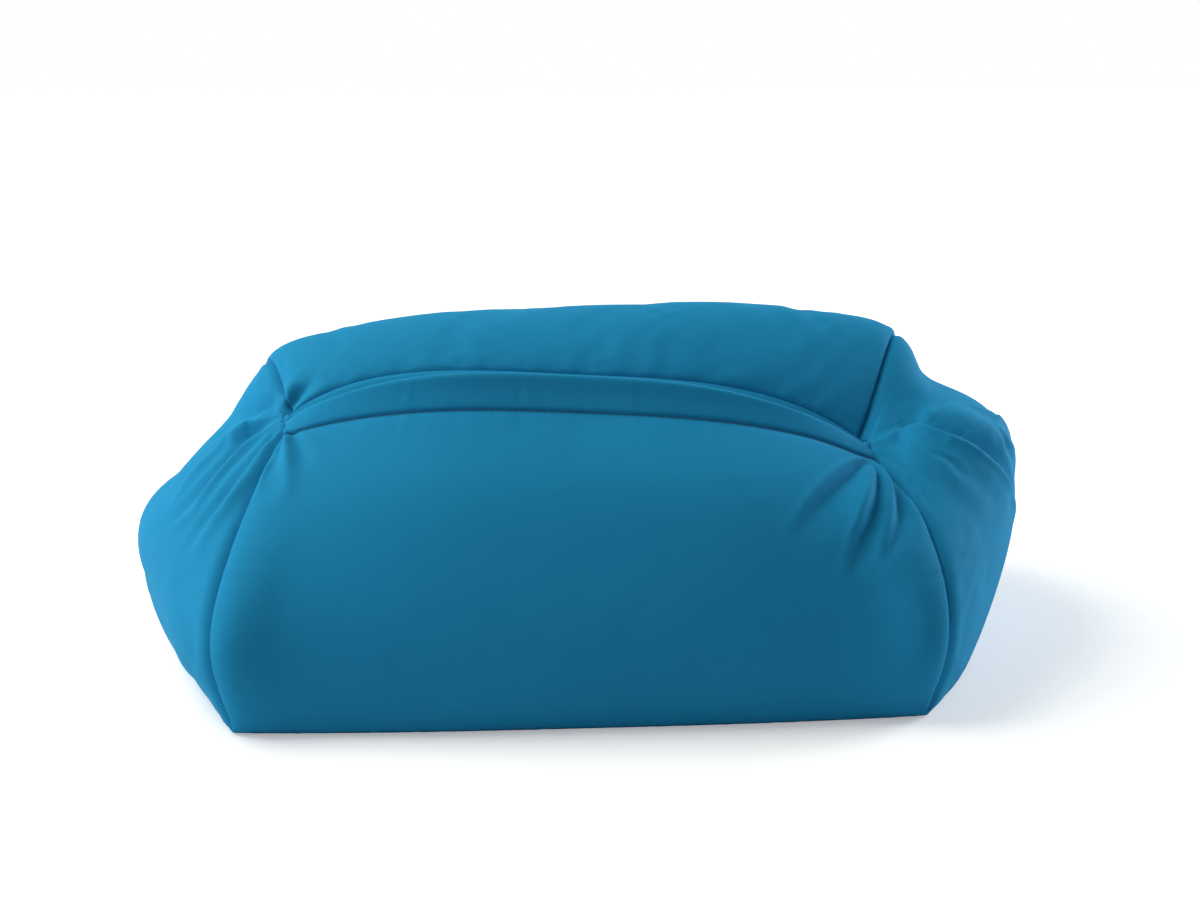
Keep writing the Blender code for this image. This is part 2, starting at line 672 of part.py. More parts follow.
def add_zip(parts, construction, skin, back_panel):
    """The filling zip: tapes, teeth and stops fixed in the back panel, and the slider with its pull."""
    frame = wall_frame(skin)
    mount = bpy.data.objects.new("zip_line", None)
    mount.empty_display_size = ZIP_SLIT
    mount.matrix_world = frame
    parts.objects.link(mount)
    half = ZIP_LENGTH / 2
    slit = box("zip_slit", (-half, -ZIP_SLIT / 2, -2 * ZIP_SLIT), (half, ZIP_SLIT / 2, 2 * ZIP_SLIT))
    boolean(back_panel, "DIFFERENCE", helper(construction, "zip_slit", slit, mount))

    tape_cloth = material("zip_tape_polyester", "#1F7FA8", 0.8)
    nylon = material("zip_teeth_nylon", "#2A8CB8", 0.45)
    zinc = material("zip_painted_zinc", "#2B7FA6", 0.35, 0.6)
    tape_start = TEETH_EDGE + ZIP_GAP
    tape_reach = half + TAPE_OVERHANG
    stop_start, stop_end = half - ZIP_GAP - STOP_LENGTH, half - ZIP_GAP
    at_teeth = Matrix.Translation((0, 0, -TEETH_DEPTH))
    for name, side, phase in (("upper", 1, 0.2), ("lower", -1, 0.7)):
        near, far = sorted((side * tape_start, side * (tape_start + TAPE_WIDTH)))
        tape_low = (-tape_reach, near, -TAPE_THICKNESS / 2)
        tape = box(f"zip_{name}_tape", tape_low, (tape_reach, far, TAPE_THICKNESS / 2))
        add(parts, f"zip_{name}_tape", tape, tape_cloth, mount, at_teeth)
        teeth = flat_outline(f"zip_{name}_teeth", [teeth_outline(side, phase)], TEETH_THICKNESS)
        add(parts, f"zip_{name}_teeth", teeth, nylon, mount, at_teeth)
        near, far = sorted((side * TEETH_SLOT / 2, side * TEETH_EDGE))
        stop_low = (stop_start, near, -TEETH_THICKNESS / 2)
        stop = box(f"zip_{name}_top_stop", stop_low, (stop_end, far, TEETH_THICKNESS / 2))
        add(parts, f"zip_{name}_top_stop", stop, zinc, mount, at_teeth)
    stop_low = (-stop_end, -TEETH_EDGE, -TEETH_THICKNESS / 2)
    stop = box("zip_bottom_stop", stop_low, (-stop_start, TEETH_EDGE, TEETH_THICKNESS / 2))
    add(parts, "zip_bottom_stop", stop, zinc, mount, at_teeth)
    add_slider(parts, construction, mount, zinc)


def add_slider(parts, construction, mount, zinc):
    """The slider at the zip's closed end, and its pull, which lies back along the teeth."""
    length, width = SLIDER_LENGTH / 2, SLIDER_WIDTH / 2
    closed = ZIP_LENGTH / 2 - STOP_LENGTH - 2 * ZIP_GAP - length
    at_end = Matrix.Translation((closed, 0, -TEETH_DEPTH))
    top = SLIDER_ROOM + SLIDER_PLATE
    mesh = box("zip_slider", (-length, -width, SLIDER_ROOM), (length, width, top))
    slider = add(parts, "zip_slider", mesh, zinc, mount, at_end)
    hinge = top + PULL_CLEARANCE + PULL_BAR / 2
    tunnel_top = hinge + PULL_BAR / 2 + PULL_CLEARANCE
    bridge_end, bridge_side = length - BRIDGE_INSET, BRIDGE_WIDTH / 2
    tunnel_end = bridge_end - BRIDGE_THICKNESS
    inside_plate = SLIDER_ROOM + SLIDER_PLATE / 2
    post_start, post_side = length - SLIDER_POST_LENGTH, TEETH_SLOT / 2 - ZIP_GAP
    shapes = (
        ("UNION", "back_plate", (-length, -width, -top), (length, width, -SLIDER_ROOM)),
        ("UNION", "post", (post_start, -post_side, -inside_plate), (length, post_side, inside_plate)),
        (
            "UNION",
            "bridge",
            (-bridge_end, -bridge_side, inside_plate),
            (bridge_end, bridge_side, tunnel_top + BRIDGE_THICKNESS),
        ),
        ("DIFFERENCE", "tunnel", (-tunnel_end, -width, top), (tunnel_end, width, tunnel_top)),
    )
    for operation, name, low, high in shapes:
        boolean(slider, operation, helper(construction, "slider_" + name, box(name, low, high), slider))

    bar, side = PULL_BAR / 2, PULL_WIDTH / 2
    rounding_x, rounding_y = PULL_ROUNDING - PULL_LENGTH, side - PULL_ROUNDING
    round_end = [
        (rounding_x - PULL_ROUNDING * math.sin(turn), rounding_y + PULL_ROUNDING * math.cos(turn))
        for turn in np.linspace(0, math.pi / 2, 5)
    ]
    tab = [(bar, -side), (bar, side), *round_end, *((x, -y) for x, y in reversed(round_end))]
    window_side = bridge_side + PULL_SIDE_GAP
    window_end = -bridge_end - PULL_END_GAP
    window_corners = ((-bar, -1), (-bar, 1), (window_end, 1), (window_end, -1))
    window = [(x, sign * window_side) for x, sign in window_corners]
    pull = flat_outline("zip_pull", [tab, window], PULL_THICKNESS)
    add(parts, "zip_pull", pull, zinc, slider, Matrix.Translation((0, 0, hinge)))


def main():
    for old in list(bpy.data.objects):
        bpy.data.objects.remove(old)
    parts = bpy.data.collections.new("beanbag_tablet_stand")
    construction = bpy.data.collections.new("construction")
    construction.hide_render = True
    bpy.context.scene.collection.children.link(parts)
    bpy.context.scene.collection.children.link(construction)
    skin = Skin(construction)
    cover = add_cover(parts, skin)
    add_filling(parts, skin)
    add_hem_thread(parts, skin)
    add_zip(parts, construction, skin, cover["back_panel"])
    return skin


if __name__ == "__main__":
    main()
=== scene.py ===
"""Beanbag tablet stand: the looks.

A stuffed cushion of turquoise stretch knit with a slot pocket along its top. The walls of the bag are one
smooth skin, worked out from the bag's own measured points. Each sewn panel is cut from that skin at a fine
spacing, gets its seam, folds and puckers as real surface, and stands for the plain panel of the frame.

Units are metres. +Z is up, the pocket's lip faces -Y, and the origin is on the floor under the middle.
"""

import json
import math

import bmesh
import bpy
import numpy as np
from mathutils import Matrix, Vector
from mathutils.bvhtree import BVHTree


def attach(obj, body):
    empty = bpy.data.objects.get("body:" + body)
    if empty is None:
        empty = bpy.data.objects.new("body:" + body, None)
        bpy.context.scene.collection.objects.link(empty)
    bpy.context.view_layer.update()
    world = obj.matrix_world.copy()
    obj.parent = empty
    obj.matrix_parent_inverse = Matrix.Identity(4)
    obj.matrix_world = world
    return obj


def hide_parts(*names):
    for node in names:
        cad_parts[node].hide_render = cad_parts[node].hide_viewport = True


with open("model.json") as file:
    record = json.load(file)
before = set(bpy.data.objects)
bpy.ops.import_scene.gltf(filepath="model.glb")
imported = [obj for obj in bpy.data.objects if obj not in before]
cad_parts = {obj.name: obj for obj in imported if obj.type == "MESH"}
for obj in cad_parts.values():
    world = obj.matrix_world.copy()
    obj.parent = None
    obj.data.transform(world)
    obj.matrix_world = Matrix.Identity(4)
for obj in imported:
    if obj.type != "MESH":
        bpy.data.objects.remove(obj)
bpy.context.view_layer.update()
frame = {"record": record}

MM = 0.001

# The photograph's camera, in metres, with its lens in millimetres, and its picture in pixels
CAMERA_PLACE = (-0.0396, -0.8110, 0.3183)
CAMERA_WAY = (0.0590, 0.9641, -0.2588)
CAMERA_LENS = 49.44
CAMERA_SENSOR = 36
PICTURE_WIDTH = 1200
PICTURE_HEIGHT = 900

# The base, flat on the floor
BASE_WIDTH = 320 * MM
BASE_DEPTH = 228 * MM
BASE_LEFT_BOW = 27 * MM
BASE_RIGHT_BOW = 47 * MM
BASE_FRONT_BOW = 5 * MM

# The front, from the base up to the lip of the pocket
FRONT_BELLY_Y = -136 * MM
FRONT_BELLY_HEIGHT = 36 * MM
FRONT_SHOULDER_Y = -102 * MM
FRONT_SHOULDER_HEIGHT = 116 * MM
LIP_Y = -44 * MM
LIP_HEIGHT = 149.5 * MM
HEM_WIDTH = 17 * MM
HEM_CORNER_WIDTH = 12 * MM
HEM_LEAN = math.radians(29)

# The back, from the base over the crest and down to the pocket's back edge
BACK_BELLY_Y = 136 * MM
BACK_BELLY_HEIGHT = 56 * MM
CREST_SHOULDER_Y = 112 * MM
CREST_Y = 40 * MM
CREST_HEIGHT = 166 * MM
REST_HEIGHT = 143 * MM

# The two ends, each with a plump ear that stands out sideways
LEFT_EAR_REACH = 225 * MM
LEFT_EAR_Y = 14 * MM
LEFT_EAR_HEIGHT = 61 * MM
LEFT_EAR_ROUNDNESS = 0.05
RIGHT_EAR_REACH = 226 * MM
RIGHT_EAR_Y = 20 * MM
RIGHT_EAR_HEIGHT = 109 * MM
RIGHT_EAR_ROUNDNESS = 0.18
LEFT_CREST_X = -154 * MM
LEFT_CREST_Y = 32 * MM
LEFT_CREST_HEIGHT = 144 * MM
RIGHT_CREST_X = 170 * MM
RIGHT_CREST_Y = 30 * MM
RIGHT_CREST_HEIGHT = 153 * MM
LEFT_SEAM_REACH = 166 * MM
LEFT_SEAM_HEIGHT = 59 * MM
RIGHT_SEAM_REACH = 167 * MM
RIGHT_SEAM_HEIGHT = 67 * MM
FRONT_SEAM_Y = -106 * MM
FRONT_SEAM_ROUNDNESS = 0.2
LEFT_BACK_SEAM_REACH = 177 * MM
LEFT_BACK_SEAM_HEIGHT = 70 * MM
RIGHT_BACK_SEAM_REACH = 190 * MM
RIGHT_BACK_SEAM_HEIGHT = 82 * MM
BACK_SEAM_Y = 112 * MM
BACK_SEAM_ROUNDNESS = 0.25

# The pocket, which leans back from its foot to its mouth
MOUTH_WIDTH = 282 * MM
MOUTH_SHIFT = 3 * MM
MOUTH_CORNER_GAP = 14 * MM
END_TOP_WIDTH = 33 * MM
LEFT_CORNER_HEIGHT = 127 * MM
RIGHT_CORNER_HEIGHT = 110 * MM
POCKET_LEAN = math.radians(8)
POCKET_GAP = 26 * MM
POCKET_FOOT_Y = -38 * MM
POCKET_FOOT_HEIGHT = 17 * MM
POCKET_FOOT_GAP = 20 * MM
POCKET_FOOT_WIDTH = 256 * MM
THROAT_WIDTH = 264 * MM
THROAT_END_GAP = 10 * MM

# How plump the panels are between their seams: a higher power is flatter with a quicker turn at the seam
FRONT_PUFF = 3.0
BACK_PUFF = 4.0
END_PUFF = 1.8

# The cage: its columns across a long side and an end, and its rows up the outside and down the pocket
LONG_SHARES = (0.0, 0.1, 0.28, 0.5, 0.72, 0.9)
END_SHARES = (0.0, 0.24, 0.5, 0.76)
ROW_SHARES = (0.0, 0.26, 0.52, 0.76)
POCKET_SHARES = (0.07, 0.45, 1.0)
SUBDIVISIONS = 1
SETTLING_ROUNDS = 8
CURVE_STEPS = 64

# The cover's knit
COVER_CLOTH = 1.0 * MM

# The filling zip, which lies level in the back panel
ZIP_HEIGHT = 23 * MM
ZIP_LENGTH = 200 * MM
ZIP_GAP = 0.3 * MM
TAPE_WIDTH = 7.5 * MM
TAPE_THICKNESS = 0.5 * MM
TAPE_OVERHANG = 6 * MM
TAPE_GAP = 1.1 * MM
TEETH_EDGE = 2.4 * MM
TEETH_THICKNESS = 1.8 * MM
STOP_LENGTH = 2.5 * MM
SLIDER_LENGTH = 11 * MM
SLIDER_WIDTH = 9 * MM
SLIDER_PLATE = 1.4 * MM
ZIP_SLIT = 10 * MM
ZIP_WELL_EASE = 28 * MM
ZIP_WELL_DEPTH = 5.4 * MM
TEETH_DEPTH = COVER_CLOTH + TAPE_GAP + TAPE_THICKNESS / 2
SLIDER_ROOM = TEETH_THICKNESS / 2 + ZIP_GAP
HINGE_HEIGHT = 3.9 * MM

# The zip's finer pieces: the flat cloth round it, the rolled edge of its slit and its two coils
ZIP_FLAT = 9 * MM
ZIP_FLAT_EASE = 16 * MM
LIP_ROUNDING = 0.9 * MM
LIP_TURNED_UNDER = 2.5 * MM
LIP_SWELL = 0.25 * MM
COIL_PITCH = 1.25 * MM
COIL_WIRE = 0.33 * MM
COIL_START = 0.35 * MM
COIL_CORNERS = 8
LIP_STEPS = 5
ROLLED_EDGE_GAP = 3 * MM
THREAD_FINENESS = 1
CORNER_STEPS = 4
SHARP_EDGE = math.radians(50)
TAPE_CORNER = 1.5 * MM
TAPE_ROUNDING = 0.12 * MM
TOP_STOP_START = 0.6 * MM
TOP_STOP_CORNER = 0.4 * MM
BOTTOM_STOP_CORNER = 0.5 * MM
CAST_ROUNDING = 0.25 * MM

# The slider: its outline as shares of its half length and half width, its bridge over the pull and its wedge
SLIDER_TAIL = 0.72
SLIDER_NECK = 0.78
SLIDER_NOSE = 0.7
SLIDER_NECK_PLACE = 0.2
SLIDER_SHOULDER_PLACE = 0.55
SLIDER_CORNER = 0.9 * MM
SLIDER_ROUNDING = 0.3 * MM
BRIDGE_INSET = 1.2 * MM
BRIDGE_TOP = HINGE_HEIGHT + 2.3 * MM
BRIDGE_WIDTH = 2.2 * MM
BRIDGE_CORNER = 1.2 * MM
TUNNEL_INSET = 2.2 * MM
TUNNEL_TOP = HINGE_HEIGHT + 1.3 * MM
WEDGE_LENGTH = 1.5 * MM
WEDGE_WIDTH = 0.6 * MM
WEDGE_ROUNDING = 0.05 * MM

# The pull, measured from its hinge: its outline, the window for the bridge and the hole near its tip
PULL_START = 0.8 * MM
PULL_START_WIDTH = 6.2 * MM
PULL_SHOULDER = 21.6 * MM
PULL_SHOULDER_WIDTH = 7 * MM
PULL_TIP = 24 * MM
PULL_TIP_WIDTH = 4.4 * MM
PULL_CORNER = 1.1 * MM
PULL_THICKNESS = 1.2 * MM
WINDOW_START = 0.8 * MM
WINDOW_END = 6.2 * MM
WINDOW_WIDTH = 3.8 * MM
WINDOW_CORNER = 0.5 * MM
HOLE_START = 15.5 * MM
HOLE_END = 21 * MM
HOLE_WIDTH = 2.2 * MM
HOLE_CORNER = 1 * MM

# Stitches that show: their spacing, length and thread
STITCH_PITCH = 2.8 * MM
STITCH_LENGTH = 2.2 * MM
STITCH_THREAD = 0.26 * MM
STITCH_SHARES = (0, 0.2, 0.8, 1)
STITCH_HEIGHTS = (-1.5, 0.5, 0.5, -1.5)
STITCH_END_GAP = 3 * MM
STITCH_INSET = 2.2 * MM
STITCH_GROOVE = 0.35 * MM
STITCH_GROOVE_WIDTH = 0.8 * MM

# How the stuffed cloth differs from the plain panels: the roll of its bottom edge and its fineness
EDGE_SHARPNESS = 0.75
FINE_LEVEL = 4

# The cloth simulation: a cage face becomes 4**CLOTH_LEVEL of its faces
CLOTH_LEVEL = 3
CLOTH_EASE = 0.012
CLOTH_PRESSURE = 5.0
CLOTH_QUALITY = 6
CLOTH_MASS = 0.15
CLOTH_TENSION = 40
CLOTH_SHEAR = 12
CLOTH_BENDING = 0.4
CLOTH_FRAMES = 20
CLOTH_REACH = 2.5 * MM
CLOTH_BLUR_ROUNDS = 50
CLOTH_SHARE_FRONT = 0.12
CLOTH_SHARE_ENDS = 0.25
CLOTH_SHARE_BACK = 0.35

# Spacing of the finished cloth: at a seam, inside the panel, and how far in it eases over
CLOTH_SPACING = (0.7 * MM, 1.4 * MM, 14 * MM)
GRADING_STEPS = 2000
SPACING_STEPS = 400

# Each kind of seam, in millimetres: its depth and width, how far the cloth beside it stands over the bag's
# measured skin, how soon, and the height of its puckers
SEAM_KINDS = {
    "plain": (2.4, 1.1, 1.0, 6, 0.2),
    "shaded": (2.4, 2.6, 0.9, 11, 0.2),
    "topstitched": (1.2, 3.2, 0.9, 8, 0.16),
    "hem_edge": (1.2, 0.6, 0.9, 3, 0.16),
    "floor": (0.7, 1.5, 0.6, 8, 0.12),
    "pocket": (1.0, 1.5, 0.3, 6, 0.1),
    "turned": (0, 1, 0, 1, 0),
}
SWELL_OVER_SKIN = 0.4
PUCKER_PEAK = 5
PUCKER_LENGTHS = (6.3, 9.7, 15.1)
PUCKER_EVENNESS = 0.65
PUCKER_SWELL_LENGTHS = 3.7
PRESS_SHARPNESS = 1.4
SWELL_SHARPNESS = 1.5

# The folds that run out from the pinched corners of the pocket. Each has its height and its half width on
# the left and on the right in millimetres, the share of its line at which it is highest, and points along the
# line that were picked: a pixel (column, row) where the photograph shows it, and elsewhere a rough
# place (x, y, z) in millimetres. fold_line puts each of them on the skin.
FOLDS = {
    # On the front, below the right corner
    "long_front_crease": (
        (-3.5, 7, 2.6, 0.3),
        ((870, 458), (865, 462), (857, 467), (850, 475), (835, 487), (816, 508), (794, 542)),
    ),
    "front_ridge": (
        (2.7, 7, 6, 0.3),
        ((869, 463), (864, 476), (862, 489), (857, 519), (847, 550)),
    ),
    "deep_front_crease": (
        (-3.8, 7, 2.4, 0.35),
        ((873, 463), (878, 474), (878, 489), (875, 505), (868, 525), (861, 540), (850, 583)),
    ),
    "ridge_by_the_right_seam": (
        (3.4, 4, 5, 0.3),
        ((876, 464), (883, 472), (888, 484), (888, 501), (884, 519), (876, 548)),
    ),
    "crease_by_the_right_seam": (
        (-3.2, 5, 2.4, 0.4),
        ((880, 469), (889, 480), (897, 495), (900, 515), (896, 535), (884, 568)),
    ),
    # On the right end
    "right_hollow": (
        (-6.3, 11, 3.5, 0.45),
        (
            *((896, 424), (925, 430), (950, 438), (972, 449), (993, 465)),
            *((214, -23, 88), (218, -15, 78), (220, -5, 68)),
        ),
    ),
    "right_ridge": (
        (6.3, 2.4, 13, 0.38),
        (
            *((884, 440), (896, 434), (914, 434), (930, 439), (948, 447), (965, 455), (982, 468), (997, 482)),
            (213, -28, 82),
        ),
    ),
    "right_lower_ridge": (
        (2.2, 9, 9, 0.4),
        ((878, 450), (902, 452), (930, 464), (953, 478), (976, 501), (988, 525)),
    ),
    "right_seam_crease": (
        (-2.7, 4, 4, 0.3),
        ((877, 456), (886, 466), (896, 476), (906, 488), (915, 503)),
    ),
    "right_small_crease": (
        (-0.8, 3, 3, 0.5),
        ((924, 456), (948, 467), (965, 484)),
    ),
    "right_top_ridge": (
        (1.8, 3, 8, 0.35),
        ((201, 10, 120), (980, 411), (994, 419), (223, 19, 100), (227, 22, 85)),
    ),
    "right_top_crease": (
        (-2.0, 4, 5, 0.35),
        ((988, 429), (998, 439), (1003, 450), (222, 0, 86), (224, 5, 74)),
    ),
    "beads_in_the_right_end": (
        (4.0, 42, 45, 0.5),
        ((190, -75, 60), (211, -35, 60), (221, 0, 60), (225, 35, 60), (220, 70, 60)),
    ),
    # On the left end
    "left_top_crease": (
        (-3.6, 7, 7, 0.3),
        ((277, 412), (268, 405), (252, 412), (232, 424), (214, 440)),
    ),
    "left_top_ridge": (
        (3.3, 5, 3, 0.25),
        ((279, 415), (262, 423), (232, 438), (202, 468), (169, 516)),
    ),
    "left_upper_crease": (
        (-2.7, 3.5, 3.5, 0.35),
        ((276, 420), (262, 428), (243, 442), (220, 470), (198, 495), (173, 530)),
    ),
    "left_middle_ridge": (
        (2.7, 4, 3.5, 0.3),
        ((278, 421), (264, 434), (250, 446), (221, 478), (195, 515), (166, 537)),
    ),
    "left_lower_crease": (
        (-3.0, 3.5, 3.5, 0.35),
        ((278, 425), (262, 448), (242, 476), (221, 504), (184, 566)),
    ),
    "left_lower_ridge": (
        (3.0, 5, 4, 0.3),
        ((279, 428), (256, 461), (232, 497), (202, 537), (180, 574)),
    ),
    # Above and below the left end's corner
    "hollow_above_the_left_corner": (
        (-3.4, 14, 14, 0.5),
        ((-200, -35, 85), (-210, -5, 85), (-210, 30, 90), (-200, 55, 90), (-195, 80, 85)),
    ),
    "hollow_below_the_left_corner": (
        (-4.4, 16, 16, 0.5),
        ((-190, -85, 30), (-210, -55, 35), (-220, -25, 40), (-225, 5, 45), (-225, 35, 45)),
    ),
    # On the back, above the left corner
    "left_back_ridge": (
        (2.4, 9, 7, 0.3),
        ((284, 408), (296, 380)),
    ),
    "left_back_crease": (
        (-2.4, 5, 5, 0.25),
        ((288, 408), (299, 394), (318, 374)),
    ),
    # On the front, below the left corner
    "left_front_crease": (
        (-1.4, 3, 3, 0.3),
        ((282, 430), (280, 450), (276, 475)),
    ),
    "left_front_ridge": (
        (2.2, 4, 4, 0.25),
        ((284, 427), (287, 446), (289, 480), (285, 508)),
    ),
    "left_front_small_crease": (
        (-1.4, 4, 4, 0.3),
        ((288, 429), (299, 446), (309, 470)),
    ),
    "left_front_small_ridge": (
        (1.3, 3, 3, 0.4),
        ((272, 458), (262, 480), (257, 500)),
    ),
}
FOLD_PINCH = 0.35
FOLD_SPREAD = 26 * MM
FOLD_REACH_OFF_SKIN = 30 * MM
CREASE_SHARPNESS = 1.35
CREASE_BANK = 0.4
CREASE_BANK_PLACE = 2.1
OUT_OF_REACH = 1.0

# How deep the inner bag and the beads lie under the cover's surface
BAG_SHEET_DEPTH = 1.5 * MM
BEAD_SHEET_DEPTH = 2.4 * MM
SEAM_ROOM = 2 * MM
SEAM_ROOM_REACH = 5 * MM
SEAM_ALLOWANCE = 2.5 * MM

# An inner layer takes only every so many of the cover's rows and columns
BAG_STRIDE = 2
BEAD_STRIDE = 3

# The knit's drawn stitch, across its ribs and along them
KNIT_WALE = 1.2 * MM
KNIT_COURSE = 1 * MM

# The studio: the table's half width, its glow under the object and where that starts and ends, the dim world
TABLE_REACH = 6
FLOOR_GLOW = 0.36
GLOW_START = 0.3
GLOW_END = 1.8
WORLD_STRENGTH = 0.2

HEM_ROW = len(ROW_SHARES)
MOUTH_ROW = HEM_ROW + 1
THROAT_ROW = MOUTH_ROW + 1
FLOOR_ROW = MOUTH_ROW + len(POCKET_SHARES)

LONG_CELLS = len(LONG_SHARES)
END_CELLS = len(END_SHARES)
COLUMNS = 2 * (LONG_CELLS + END_CELLS)
BACK_START = LONG_CELLS + END_CELLS
BACK_END = BACK_START + LONG_CELLS
RIGHT_MIDDLE = LONG_CELLS + END_CELLS // 2
LEFT_MIDDLE = BACK_END + END_CELLS // 2
# A face's corners carry their column and row; the base's and the floor's columns start at these numbers
BASE_SITE = 40
FLOOR_SITE = 60
SITE_SLACK = 0.01


def mix(start, end, share):
    return start * (1 - share) + end * share


def point(x, y, z):
    return np.array((x, y, z), dtype=float)


def bezier(start, first_handle, second_handle, end):
    """A finely divided cubic curve."""
    t = np.linspace(0, 1, CURVE_STEPS + 1)[:, None]
    return (
        (1 - t) ** 3 * start
        + 3 * (1 - t) ** 2 * t * first_handle
        + 3 * (1 - t) * t**2 * second_handle
        + t**3 * end
    )


def arch(start, middle, end, roundness):
    """A curve from start to end whose middle is given; a small roundness makes a sharper turn there."""
    handle = (8 * middle - start - end) / 6
    spread = roundness * (end - start)
    return bezier(start, handle - spread, handle + spread, end)


def rows_along(curve, top_gap):
    """The row points up a curve: the row shares, a row that stays top_gap below the end, and the end."""
    lengths = np.concatenate(([0], np.cumsum(np.linalg.norm(np.diff(curve, axis=0), axis=1))))
    wanted = np.append(np.array(ROW_SHARES) * lengths[-1], (lengths[-1] - top_gap, lengths[-1]))
    return np.stack([np.interp(wanted, lengths, curve[:, axis]) for axis in range(3)], axis=1)


def pocket_y(height):
    """The pocket's mid plane, which leans back."""
    return POCKET_FOOT_Y + (height - POCKET_FOOT_HEIGHT) * math.tan(POCKET_LEAN)


def mouth_corner(side, height, across):
    """A point on an end of the pocket's mouth; across runs from -1 at the front to 1 at the back."""
    bow = (1 - across**2) * MOUTH_CORNER_GAP / 4
    x = MOUTH_SHIFT + side * (MOUTH_WIDTH / 2 + bow)
    return point(x, pocket_y(height) + across * MOUTH_CORNER_GAP / 2, height)


def front_middle_rows():
    front = -BASE_DEPTH / 2 - BASE_FRONT_BOW
    lip = point(0, LIP_Y, LIP_HEIGHT)
    curve = bezier(
        point(0, front, 0),
        point(0, (4 * FRONT_BELLY_Y - front) / 3, FRONT_BELLY_HEIGHT),
        point(0, FRONT_SHOULDER_Y, FRONT_SHOULDER_HEIGHT),
        lip - HEM_WIDTH * point(0, math.sin(HEM_LEAN), math.cos(HEM_LEAN)),
    )
    return np.vstack((rows_along(curve, 0)[:-1], lip))


def over_the_crest(curve, mouth):
    """Rows up a back curve that ends on the crest, and the last one on the pocket's back edge."""
    return np.vstack((rows_along(curve, 0)[:-1], mouth))


def back_middle_rows():
    back = BASE_DEPTH / 2
    curve = bezier(
        point(0, back, 0),
        point(0, (4 * BACK_BELLY_Y - back) / 3, BACK_BELLY_HEIGHT),
        point(0, CREST_SHOULDER_Y, CREST_HEIGHT),
        point(0, CREST_Y, CREST_HEIGHT),
    )
    return over_the_crest(curve, point(0, pocket_y(REST_HEIGHT) + POCKET_GAP / 2, REST_HEIGHT))


def end_rows(side, base_bow, corner_height, front_bow, back_bow, ear, ear_roundness, crest):
    """Rows up the front seam, the middle and the back seam of one end panel."""
    x, y = BASE_WIDTH / 2, BASE_DEPTH / 2
    front_seam = arch(
        point(side * x, -y, 0),
        front_bow,
        mouth_corner(side, corner_height, -1),
        FRONT_SEAM_ROUNDNESS,
    )
    middle = arch(
        point(side * (x + base_bow), 0, 0), ear, mouth_corner(side, corner_height, 0), ear_roundness
    )
    back_seam = arch(
        point(side * x, y, 0),
        back_bow,
        crest,
        BACK_SEAM_ROUNDNESS,
    )
    return (
        rows_along(front_seam, HEM_CORNER_WIDTH),
        rows_along(middle, END_TOP_WIDTH),
        over_the_crest(back_seam, mouth_corner(side, corner_height, 1)),
    )


def span(start, middle, end, shares, puff):
    """Columns from one seam towards the next, which swell out to the middle column between them."""
    bow = middle - mix(start, end, 0.5)
    return [mix(start, end, share) + bow * (1 - abs(2 * share - 1) ** puff) for share in shares]


def outside_rows():
    """Rings of target points up the outside of the bag, from the base to the mouth."""
    left_front, left_middle, left_back = end_rows(
        -1,
        BASE_LEFT_BOW,
        LEFT_CORNER_HEIGHT,
        point(-LEFT_SEAM_REACH, FRONT_SEAM_Y, LEFT_SEAM_HEIGHT),
        point(-LEFT_BACK_SEAM_REACH, BACK_SEAM_Y, LEFT_BACK_SEAM_HEIGHT),
        point(-LEFT_EAR_REACH, LEFT_EAR_Y, LEFT_EAR_HEIGHT),
        LEFT_EAR_ROUNDNESS,
        point(LEFT_CREST_X, LEFT_CREST_Y, LEFT_CREST_HEIGHT),
    )
    right_front, right_middle, right_back = end_rows(
        1,
        BASE_RIGHT_BOW,
        RIGHT_CORNER_HEIGHT,
        point(RIGHT_SEAM_REACH, FRONT_SEAM_Y, RIGHT_SEAM_HEIGHT),
        point(RIGHT_BACK_SEAM_REACH, BACK_SEAM_Y, RIGHT_BACK_SEAM_HEIGHT),
        point(RIGHT_EAR_REACH, RIGHT_EAR_Y, RIGHT_EAR_HEIGHT),
        RIGHT_EAR_ROUNDNESS,
        point(RIGHT_CREST_X, RIGHT_CREST_Y, RIGHT_CREST_HEIGHT),
    )
    columns = np.array(
        span(left_front, front_middle_rows(), right_front, LONG_SHARES, FRONT_PUFF)
        + span(right_front, right_middle, right_back, END_SHARES, END_PUFF)
        + span(right_back, back_middle_rows(), left_back, LONG_SHARES, BACK_PUFF)
        + span(left_back, left_middle, left_front, END_SHARES, END_PUFF)
    )
    # The zip holds the low back straight, so its two lowest rows each lie in one upright plane
    low_back = columns[BACK_START : BACK_END + 1, :2, 1]
    low_back[:] = low_back.mean(axis=0)
    return columns.transpose(1, 0, 2)


def foot_ring():
    """The edge of the pocket's floor."""
    x = POCKET_FOOT_WIDTH / 2
    front, back = POCKET_FOOT_Y - POCKET_FOOT_GAP / 2, POCKET_FOOT_Y + POCKET_FOOT_GAP / 2
    places = ((-x, front), (x, front), (x, back), (-x, back))
    corners = [point(*place, POCKET_FOOT_HEIGHT) for place in places]
    sides = zip(corners, corners[1:] + corners[:1], (LONG_SHARES, END_SHARES) * 2)
    return np.array([mix(start, end, share) for start, end, shares in sides for share in shares])


def pocket_rows(mouth):
    """Rings of target points down the pocket's walls, from its throat under the lip to the floor's edge."""
    throat = mouth.copy()
    throat[:, 0] *= THROAT_WIDTH / MOUTH_WIDTH
    to_back = 2 * np.array(END_SHARES) - 1
    across = np.concatenate((-np.ones(LONG_CELLS), to_back, np.ones(LONG_CELLS), -to_back))
    gap = np.full(COLUMNS, THROAT_END_GAP)
    gap[1:LONG_CELLS] = gap[BACK_START + 1 : BACK_END] = POCKET_GAP
    throat[:, 1] = pocket_y(throat[:, 2]) + across * gap / 2
    return np.array([mix(throat, foot_ring(), share) for share in POCKET_SHARES])


